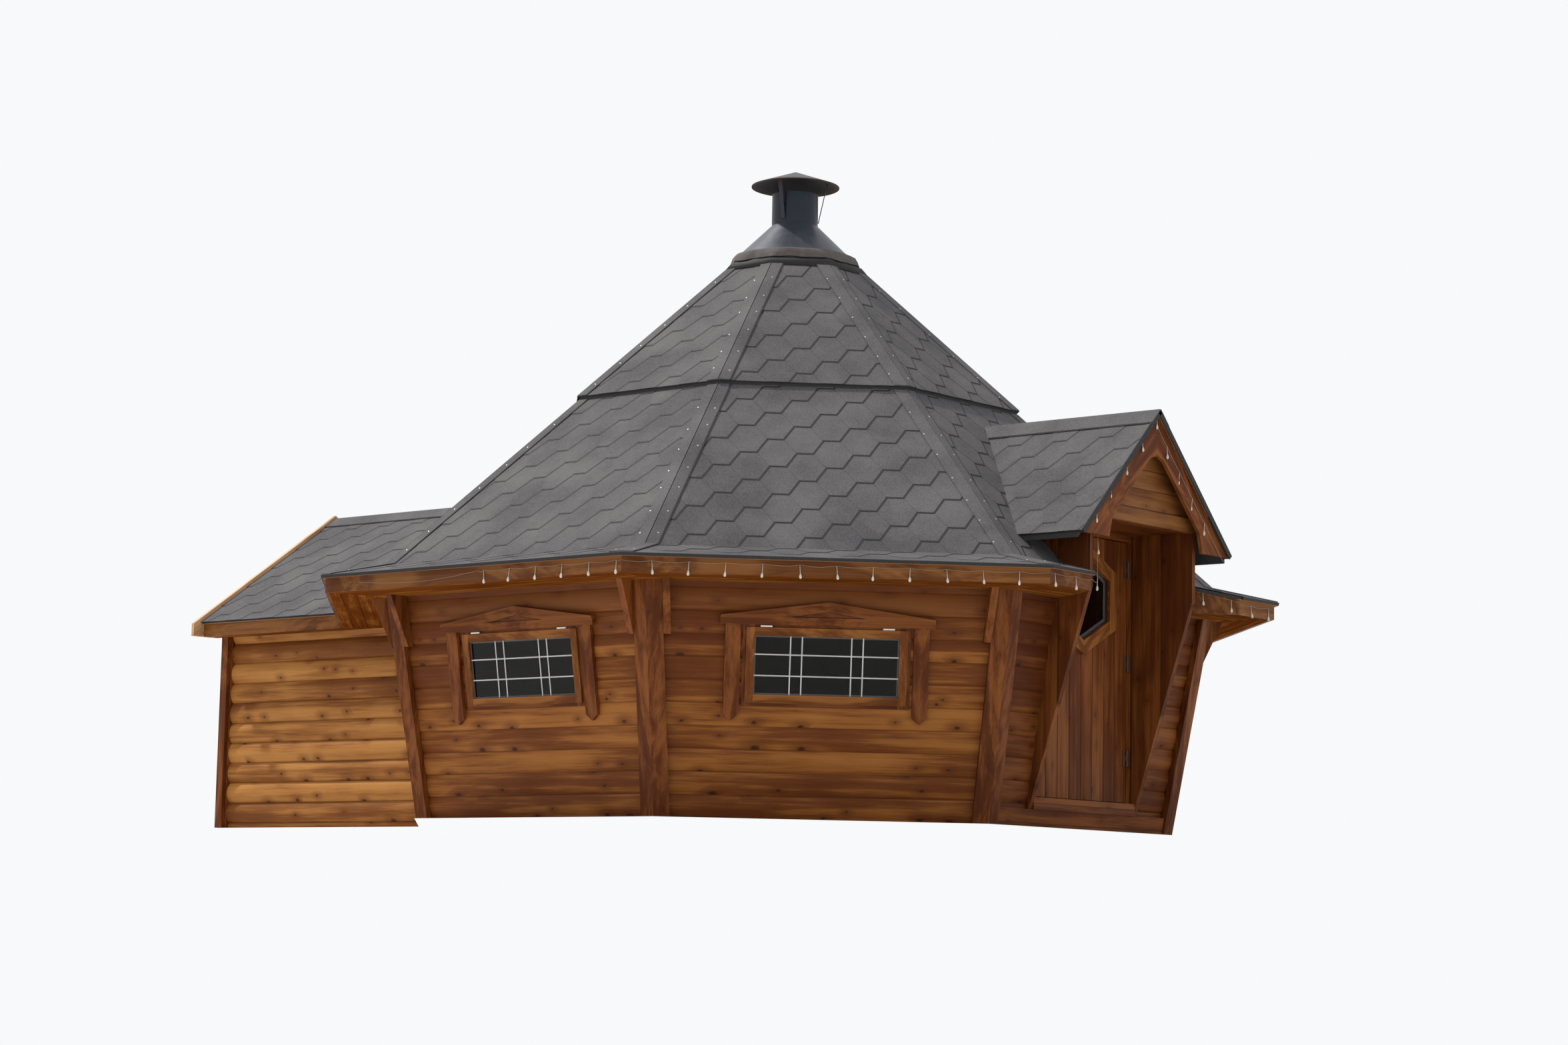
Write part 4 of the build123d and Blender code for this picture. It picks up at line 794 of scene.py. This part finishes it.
# %% Cover the lower stage
FLARE_LENGTH = (EAVE_RADIUS - KNEE_RADIUS) / cos(FLARE_PITCH)
MAIN_LENGTH = (KNEE_RADIUS - BREAK_RADIUS) / cos(ROOF_PITCH)
STRIP = 0.085


def covered_side(azimuth):
    """Shingles of one side, both pitches, trimmed at the hips."""
    whole = Piece(FELT, BITUMEN_AND_SHADOW)
    shift = 0.07 * (azimuth / 45.0 % 2)
    flare = slope_place(azimuth, EAVE_RADIUS, EAVE_HEIGHT, FLARE_PITCH)
    main = slope_place(azimuth, KNEE_RADIUS, KNEE_HEIGHT, ROOF_PITCH)
    rows = round((FLARE_LENGTH - STRIP) / TAB_RISE)
    carried = STRIP + rows * TAB_RISE - FLARE_LENGTH
    for place, start, low, high, first in ((flare, STRIP, STRIP - SHADOW_LIP, FLARE_LENGTH + 0.002, 0),
                                           (main, carried, -0.002, MAIN_LENGTH + 0.02, rows)):
        part = lay_shingles(place, 1.25, start, high, shift, first)
        whole.join(part.cut(*hip_planes(azimuth), *slope_planes(place, low, high)))
    return whole


lower = Piece(FELT, BITUMEN_AND_SHADOW)
for azimuth in SIDES:
    side = covered_side(azimuth)
    if azimuth == 0:
        for hand in (-1, 1):
            lower.join(side.copy().cut(*beside_porch(hand)))
            lower.join(side.copy().cut(*above_face(PORCH_FACES, hand), up_to(RIGHT * hand, CHEEK_CUT)))
    elif abs(azimuth) in (135, 180):
        for hand in (-1, 1):
            lower.join(side.copy().cut(*above_face(ANNEX_FACES, hand)))
    else:
        lower.join(side)
lower.make("lower_shingles", "roof_felt")

# %% [markdown]
# ## The upper stage and the gable roofs
# The upper stage laps over the lower one, so its first row starts at its own edge. The porch and
# annex slopes are laid the same way and stop against the main roof.

# %% Cover the upper stage
UPPER_LENGTH = (BREAK_RADIUS - 0.36) / cos(ROOF_PITCH)
UPPER_HEIGHT = roof_height(BREAK_RADIUS) + UPPER_LIFT
upper = Piece(FELT, BITUMEN_AND_SHADOW)
for azimuth in SIDES:
    place = slope_place(azimuth, BREAK_RADIUS, UPPER_HEIGHT, ROOF_PITCH)
    part = lay_shingles(place, 0.62, -0.045, UPPER_LENGTH, 0.11 * (azimuth / 45.0 % 2))
    upper.join(part.cut(*hip_planes(azimuth), *slope_planes(place, -0.014, UPPER_LENGTH)))
upper.make("upper_shingles", "roof_felt")

# %% Cover the porch and the annex
PORCH_RIM = 0.006
GABLES = ((PORCH_HALF, PORCH_RIDGE, PORCH_PITCH, -PORCH_FRONT - PORCH_RIM, -1.30, 0),
          (ANNEX_HALF, ANNEX_RIDGE, ANNEX_PITCH, 1.30, ANNEX_END, 180))


def gable_place(hand, half, ridge, pitch):
    """x runs along a gable roof's eave on one hand, y up its slope and z out of it."""
    return slope_place(hand * 90, half, ridge - half * tan(pitch), pitch)


gables = Piece(FELT, BITUMEN_AND_SHADOW)
for half, ridge, pitch, front, back, target in GABLES:
    main_face = slope_place(target, KNEE_RADIUS, KNEE_HEIGHT, ROOF_PITCH)
    for hand in (-1, 1):
        place = gable_place(hand, half, ridge, pitch)
        part = lay_shingles(place, 4.2, -0.05, half / cos(pitch), 0.05, hand > 0)
        part.cut(*slope_planes(place, -0.012, half / cos(pitch)), up_to(-BACK, -front), up_to(BACK, back),
                 (main_face @ Vector((0, 0, -0.01)), -main_face.col[2].to_3d()))
        gables.join(part)
gables.make("gable_shingles", "roof_felt")

# %% [markdown]
# ## Hip strips and nails
# At each hip the felt is folded over the corner as a plain strip, and under its right-hand edge a
# thin dark line of painted shadow lies on the next side. Bright nail heads run down both halves of the fold.

# %% Fold the hip strips
strips = Piece(FELT, BITUMEN_AND_SHADOW, NAIL)
LEFT_HALF, RIGHT_HALF, NAIL_GAP = 0.080, 0.065, 0.2
NAIL_HEAD = [(0.0, 0.0016), (0.0038, 0.0014), (0.0052, 0.0)]


def hip_strip(azimuth, radius, height, pitch, length):
    """A strip on both sides of the hip at the right-hand end of a side."""
    for side, hand, wide, nail in ((azimuth, 1, LEFT_HALF, 0.070), (azimuth + 45, -1, RIGHT_HALF, 0.042)):
        place = slope_place(side, radius, height, pitch)
        foot, head = hand * radius * HALF_RATE, hand * (radius - length * cos(pitch)) * HALF_RATE
        inner = [(head - hand * wide, length), (foot - hand * wide, 0)]
        strips.slab(place, [(foot, 0), (head, length)] + inner, 0.003, 0.0106)
        # Painted shadow: a thin dark line under the strip's right-hand edge.
        if hand < 0:
            low, high = foot + wide, head + wide
            line = [(low, 0), (high, length), (high + SHADOW_LIP, length), (low + SHADOW_LIP, 0)]
            strips.slab(place, line, 0.003, 0.0102, 1)
        for n in range(int(length / NAIL_GAP)):
            up = (n + 0.5 + luck.uniform(-0.12, 0.12)) * NAIL_GAP
            centre = foot + (head - foot) * up / length - hand * nail
            strips.lathe(place @ Matrix.Translation((centre, up, 0.0108)), NAIL_HEAD, 8, 2)


UPPER_FOOT, ANNEX_START = BREAK_RADIUS + 0.008, 1.20
for azimuth in SIDES:
    hip_strip(azimuth, EAVE_RADIUS, EAVE_HEIGHT, FLARE_PITCH, FLARE_LENGTH)
    hip_strip(azimuth, KNEE_RADIUS, KNEE_HEIGHT, ROOF_PITCH, MAIN_LENGTH)
    hip_strip(azimuth, UPPER_FOOT, roof_height(UPPER_FOOT) + UPPER_LIFT, ROOF_PITCH, UPPER_LENGTH)
kept = strips.copy().cut(up_to(BACK, ANNEX_START))
for hand in (-1, 1):
    kept.join(strips.copy().cut(up_to(-BACK, -ANNEX_START), *above_face(ANNEX_FACES, hand)))
kept.make("hip_strips", "roof_felt")

# %% [markdown]
# ## Eave strips and black rims
# A plain strip of felt starts the rows at the eave, over a thin black drip edge. The porch roof's
# front and feet have a deeper black rim of folded felt.

# %% Edge the eaves
edges = Piece(FELT, BITUMEN_AND_SHADOW)
for azimuth in SIDES:
    place = slope_place(azimuth, EAVE_RADIUS, EAVE_HEIGHT, FLARE_PITCH)
    part = Piece(FELT, BITUMEN_AND_SHADOW)
    part.block(place, (-1.3, -0.008, 0.0005), (1.3, STRIP + 0.03, 0.0045), 0, 0.6)
    part.block(place, (-1.3, -0.010, -0.0135), (1.3, -0.0005, 0.0030), 1)
    part.cut(*hip_planes(azimuth))
    if azimuth == 0:
        for hand in (-1, 1):
            edges.join(part.copy().cut(*beside_porch(hand)))
    elif abs(azimuth) == 135:
        edges.join(part.cut(*above_face(ANNEX_FACES, 1 if azimuth > 0 else -1)))
    elif azimuth != 180:
        edges.join(part)
for hand in (-1, 1):
    place = gable_place(hand, PORCH_HALF, PORCH_RIDGE, PORCH_PITCH)
    front, length = hand * -PORCH_FRONT, PORCH_HALF / cos(PORCH_PITCH)
    edges.block(place, (front, -0.010, -0.020), (front - hand * PORCH_RIM, length + 0.004, 0.011), 1)
    edges.block(place, (front, -0.012, -0.004), (front + hand * 0.62, -0.001, 0.004), 1)
edges.make("eave_strips", "roof_edge")

# %% [markdown]
# ## Ridge strips
# The ridges of the porch and the annex are covered by one folded strip of felt each, with a thin line of
# painted shadow under its edges.

# %% Fold the ridge strips
ridges = Piece(FELT, BITUMEN_AND_SHADOW)
FOLD = 0.115
for half, ridge, pitch, start, stop in ((PORCH_HALF, PORCH_RIDGE, PORCH_PITCH, -PORCH_FRONT - 0.008, -1.42),
                                        (ANNEX_HALF, ANNEX_RIDGE, ANNEX_PITCH, 1.66, ANNEX_END - 0.001)):
    top = half / cos(pitch)
    edge = top - FOLD
    for hand in (-1, 1):
        place = gable_place(hand, half, ridge, pitch)
        ridges.block(place, (hand * start, edge, 0.006), (hand * stop, top + 0.004, 0.0125))
        # Painted shadow: a thin dark line under the strip's lower edge.
        ridges.block(place, (hand * start, edge - 0.006, 0.004), (hand * stop, edge + 0.002, 0.0098), 1)
ridges.make("ridge_strips", "roof_felt")

# %% [markdown]
# ## Collar skirt
# Between the shingles and the metal cone lies a skirt of felt whose lower edge has crept into a
# wave and lifted off the roof, so a dark gap shows under it. Rings of points do it: the radius and
# the height swing a little as they go round. A black apron closes the gap from inside: painted shade that
# keeps it dark.

# %% Wave the collar skirt
STEPS, CONE_FOOT, SKIRT_FOOT, SKIRT_EDGE = 128, 0.351, 0.372, 0.391
SKIRT_FELT = plain_finish("skirt_felt", (0.050, 0.045, 0.042), (0.130, 0.114, 0.103), 0.8, 0.0, 26.0, 0.3)


def skirt_ring(share, thick):
    """One ring of the skirt, from the cone's foot at 0 over the cone's rim to the outer edge at 1."""
    foot = (SKIRT_FOOT, roof_height(CONE_FOOT) + UPPER_LIFT + 0.0360)
    points = []
    for n in range(STEPS):
        turn = 2 * pi * n / STEPS
        octagon = 1.0 / cos((turn + pi / 8) % (pi / 4) - pi / 8)
        wave = 0.006 * sin(turn * 11 + 0.8) + 0.004 * sin(turn * 19 + 2.1)
        reach = SKIRT_EDGE + wave
        edge = (reach * octagon, roof_height(reach) + UPPER_LIFT + 0.021 + wave * 0.5)
        radius = foot[0] + (edge[0] - foot[0]) * share
        height = foot[1] + (edge[1] - foot[1]) * share + 0.09 * share * (1 - share) + thick
        points.append(Vector((radius * cos(turn), radius * sin(turn), height)))
    return points


def octagon_corners(apothem):
    return [outward(azimuth + 22.5) * (apothem / cos(radians(22.5))) for azimuth in range(0, 360, 45)]


def apron_ring(apothem, lift):
    return [corner + UP * (roof_height(apothem) + UPPER_LIFT + lift) for corner in octagon_corners(apothem)]


skirt = Piece(SKIRT_FELT, BITUMEN_AND_SHADOW)
shares = (1.0, 0.8, 0.5, 0.2, 0.0)
loops = [skirt_ring(share, 0.0) for share in shares]
loops += [skirt_ring(share, 0.006) for share in reversed(shares)]
skirt.rings([loop[::-1] for loop in loops], lambda row: 0 if 5 <= row <= 8 else 1, True)
# Painted shade: a black apron under the skirt's wavy edge.
skirt.rings([apron_ring(0.405, 0.001), apron_ring(0.445, 0.0125), apron_ring(0.405, 0.024)], 1)
skirt.make("collar_skirt", "roof_edge", smooth=True)

# %% [markdown]
# ## Corner fillers
# Where the annex's round logs meet at the back corners, the corner boards leave small gaps over
# the dips between logs. A slim dark post stands inside each corner and closes them.

# %% Fill the annex corners
fillers = Piece(stained_wood("stained_filler", up_depth, "red"))
for hand in (-1, 1):
    fillers.block(Matrix.Identity(4), (hand * 1.0045, 3.9515, 0.0), (hand * 1.0295, 3.9955, 1.27))
fillers.make("annex_corner_fillers", "log_wood")

# %% [markdown]
# ## Window bars and hinges
# The panes are clear sheets with thin grey bars stuck on in a leaded pattern: two level bars, and
# two close pairs upright, inside a thin dark border. Two flat hinges show as white lines at each
# window's head. The door's six-sided pane has a wider border. Each bar is a low box that stands on
# the glass, because real bars catch the light on their edges.

# %% Bar the windows
bars = Piece(CAME, BORDER)
hinges = Piece(WHITE)
PANE_X, PANE_Y, PANE_MIDDLE, BAR, RIM = 0.3965, 0.1605, 0.840, 0.0034, 0.004
HINGE_X, HINGE_Y, HINGE_HALF = 0.335, 0.209, 0.032
for azimuth in WINDOW_SIDES:
    pane = wall_place(azimuth) @ Matrix.Translation((0, PANE_MIDDLE, 0))
    for share in (0.249, 0.329, 0.671, 0.751):
        x = (share - 0.5) * 2 * PANE_X
        bars.block(pane, (x - BAR, -PANE_Y, -0.0052), (x + BAR, PANE_Y, -0.0022))
    for share in (0.32, 0.68):
        y = (share - 0.5) * 2 * PANE_Y
        bars.block(pane, (-PANE_X, y - BAR, -0.0055), (PANE_X, y + BAR, -0.0018))
    for side in (-1, 1):
        x, y = side * (PANE_X - RIM), side * (PANE_Y - RIM)
        left, right = side * HINGE_X - HINGE_HALF, side * HINGE_X + HINGE_HALF
        bars.block(pane, (x - RIM, -PANE_Y, -0.0050), (x + RIM, PANE_Y, -0.0025), 1)
        bars.block(pane, (-PANE_X, y - RIM, -0.0049), (PANE_X, y + RIM, -0.0026), 1)
        hinges.block(pane, (left, HINGE_Y, 0.004), (right, HINGE_Y + 0.008, 0.0155))
bars.make("window_bars", "door_metal")
hinges.make("window_hinges", "door_metal")

# %% Cap the window heads
caps = Piece(stained_wood("stained_caps", along_wall, "log", knots=0.0))
HEAD_SIDE, HEAD_SHOULDER, HEAD_PEAK, CAP, CAP_PEAK = 0.587, 1.112, 1.193, 0.014, 0.013
for azimuth in WINDOW_SIDES:
    for end in (-HEAD_SIDE, HEAD_SIDE):
        caps.slab(wall_place(azimuth), [(0, HEAD_PEAK), (end, HEAD_SHOULDER), (end, HEAD_SHOULDER - CAP),
                                        (0, HEAD_PEAK - CAP_PEAK)], 0.0300, 0.0375)
caps.make("head_caps", "board_wood")

# %% Border the door's pane
HEX_HALF, HEX_SIDE, HEX_POINT, HEX_CENTRE = 0.262, 0.116, 0.248, 1.329


def hexagon(inset):
    slope = hypot(HEX_HALF, HEX_POINT - HEX_SIDE)
    half = HEX_HALF - inset
    side = HEX_SIDE - inset * (slope - HEX_POINT + HEX_SIDE) / HEX_HALF
    point = HEX_POINT - inset * slope / HEX_HALF
    return [(half, side), (0, point), (-half, side), (-half, -side), (0, -point), (half, -side)]


door_place = axes(RIGHT, UP, -BACK, Vector((0, -2.170, HEX_CENTRE)))
border = Piece(BORDER)
outer, inner = hexagon(0.001), hexagon(0.019)
for n in range(6):
    border.slab(door_place, [outer[n - 1], outer[n], inner[n], inner[n - 1]], 0.0004, 0.0040)
border.make("door_pane_border", "door_metal", "door")

# %% [markdown]
# ## String lights
# A string of small white lamps hangs along the eaves. Each lamp is a clear stem with a white drop,
# turned like a bead on a lathe, and the thin lead dips a little from one lamp to the next. On the
# left side its first half has no lamps and hangs in one long dip.

# %% Hang the lamps
lights = Piece(LAMP, STEM_WIRE, LEAD)
DROP = [(0.0, -0.044), (0.0036, -0.048), (0.0070, -0.059), (0.0074, -0.067), (0.0048, -0.073),
        (0.0, -0.075)]
STEM = [(0.0, 0.0), (0.0020, -0.001), (0.0024, -0.044), (0.0032, -0.050)]
LEAD_RADIUS, LAMP_GAP, LAMP_LEVEL = 0.0009, 0.197, 1.330


def hang_lamp(point):
    spot = Matrix.Translation(point) @ Matrix.Rotation(luck.uniform(-0.16, 0.16), 4, "X")
    lights.lathe(spot, STEM, 8, 1)
    lights.lathe(spot, DROP, 10, 0)


def hang_string(start, stop, places, dip=0.008):
    """A lead between two points with lamps at some places from 0 to 1 along it."""
    path, stops = [], [0.0, *places, 1.0]
    for low, high in zip(stops, stops[1:]):
        for k in range(5):
            share = k / 5
            sag = UP * (4 * dip * share * (1 - share) * luck.uniform(0.7, 1.2))
            path.append(start.lerp(stop, low + (high - low) * share) - sag)
    lights.tube(path + [stop], LEAD_RADIUS, 5, 2)
    for share in places:
        hang_lamp(start.lerp(stop, share))


def eave_point(azimuth, along):
    return outward(azimuth) * (FASCIA_FACE + 0.004) + sideways(azimuth) * along + UP * LAMP_LEVEL


def hang_along(azimuth, low, high, first, count):
    """A number of lamps, from the first one on, between two places along an eave."""
    places = [(first + n * LAMP_GAP - low) / (high - low) for n in range(count)]
    hang_string(eave_point(azimuth, low), eave_point(azimuth, high), places)


REACH = FASCIA_FACE * HALF_RATE
hang_string(eave_point(-90, -0.87) - UP * 0.016, eave_point(-90, 0.09), [], 0.028)
hang_along(-90, 0.09, REACH, 0.130, 6)
hang_along(-45, -REACH, REACH, -0.988, 11)
hang_along(0, -REACH, -PORCH_HALF, -1.110, 2)
hang_along(0, PORCH_HALF, REACH, 0.880, 2)
print("lamps", LAMP_GAP, "m apart along the eaves")

# %% Hang the porch's lamps
notch = Vector((CHEEK_OUTER + 0.008, NOTCH_BACK, 1.420))
hang_string(eave_point(0, PORCH_HALF) + UP * 0.010, notch, [0.13, 0.62], 0.004)
cheek = [Vector((-0.478, -2.622, height)) for height in (1.352, 1.640)]
hang_string(eave_point(0, -PORCH_HALF), cheek[0], [], 0.010)
hang_string(cheek[0], cheek[1], [0.08, 0.78], 0.0)
BARGE_REACH = 0.700
for hand, drop, places in ((-1, 0.018, (0.61, 0.46, 0.31, 0.16, 0.012)),
                           (1, 0.095, (0.490, 0.362, 0.228, 0.093))):
    high = Vector((0, -PORCH_FRONT + 0.009, PORCH_RIDGE - drop))
    low = high + (RIGHT * hand - UP) * BARGE_REACH
    hang_string(low, high, [1 - place / BARGE_REACH for place in places], 0.006)
lights.make("string_lights", "window_glass", smooth=True)

# %% [markdown]
# ## Camera, floor and light
# The camera stands where the photograph was taken, low and to the left of the door, with a long
# lens. The ground there is lower than the cabin, so the floor is clear from beneath, and a sheet
# under the cabin hides its dark underside. Only a camera beneath it sees that sheet. The sun stands
# high behind the left side, and an even pale sky fills the shade.

# %% Place the camera
YAW, PITCH, ROLL = radians(50.3137), radians(7.0585), radians(1.1192)
ahead = Vector((sin(YAW) * cos(PITCH), cos(YAW) * cos(PITCH), sin(PITCH)))
right = Vector((cos(YAW), -sin(YAW), 0))
above = right.cross(ahead)
view = bpy.data.cameras.new("view")
view.sensor_width, view.lens = 36.0, 75.01
view.clip_start, view.clip_end = 0.1, 200.0
STAND = Vector((-15.4459, -12.777, -0.5816))
camera = into_scene("view", view)
camera.matrix_world = axes(right * cos(ROLL) + above * sin(ROLL), above * cos(ROLL) - right * sin(ROLL),
                           -ahead, STAND)
bpy.context.scene.camera = camera
bpy.context.scene.view_settings.view_transform = "Standard"
print("camera at", STAND, "lens", round(view.lens, 2))

# %% Lay the floor
BACKDROP, FAR, UNDER_REACH = (0.94, 0.95, 0.96), 60, 2.225


def sheet(name, outline, height, material):
    mesh = bpy.data.meshes.new(name)
    mesh.from_pydata([(x, y, height) for x, y in outline], [], [list(range(len(outline)))])
    mesh.materials.append(material)
    into_scene(name, mesh)
    print(name)


def from_camera(recipe):
    """1 for the rays that the camera sends out."""
    return recipe.add("ShaderNodeLightPath")[0]


def from_beneath(recipe):
    """1 where a level sheet is met from below."""
    return recipe.add("ShaderNodeNewGeometry")[6]


ground = Recipe("pale_floor")
ground.shine(Base_Color=(0.80, 0.79, 0.77), Roughness=0.9)
clear = ground.add("ShaderNodeBsdfTransparent")[0]
ground.blend(from_beneath(ground), Field(ground, ground.shader.outputs[0]), clear)
sheet("floor_stage", rectangle(-FAR, -FAR, FAR, FAR), -0.001, ground.material)

under = Recipe("under_sheet")
glow = under.add("ShaderNodeEmission", {}, {0: BACKDROP, 1: 1.0})[0]
clear = under.add("ShaderNodeBsdfTransparent")[0]
under.blend(from_camera(under) * from_beneath(under), clear, glow)
sheet("under_octagon", [corner[:2] for corner in octagon_corners(UNDER_REACH)], -0.0005, under.material)
sheet("under_annex", rectangle(-1.04, 1.9, 1.04, 4.02), -0.0005, under.material)

# %% Light it
SUN_AZIMUTH, SUN_RISE, SKY_STRENGTH = -162, radians(55), 0.80
sun = bpy.data.lights.new("sun", "SUN")
sun.energy, sun.angle, sun.color = 3.0, radians(2.5), (1.0, 0.97, 0.92)
sun_object = into_scene("sun", sun)
towards_sun = outward(SUN_AZIMUTH) * cos(SUN_RISE) + UP * sin(SUN_RISE)
sun_object.rotation_mode = "QUATERNION"
sun_object.rotation_quaternion = towards_sun.to_track_quat("Z", "Y")
bpy.context.scene.world = bpy.data.worlds.new("sky")
sky = Recipe("sky", bpy.context.scene.world)
fill = sky.add("ShaderNodeBackground", {}, {0: (0.98, 0.98, 1.0), 1: SKY_STRENGTH})[0]
shown = sky.add("ShaderNodeBackground", {}, {0: BACKDROP, 1: 1.0})[0]
sky.blend(from_camera(sky), fill, shown)
print("sun", sun.energy, "sky", SKY_STRENGTH)
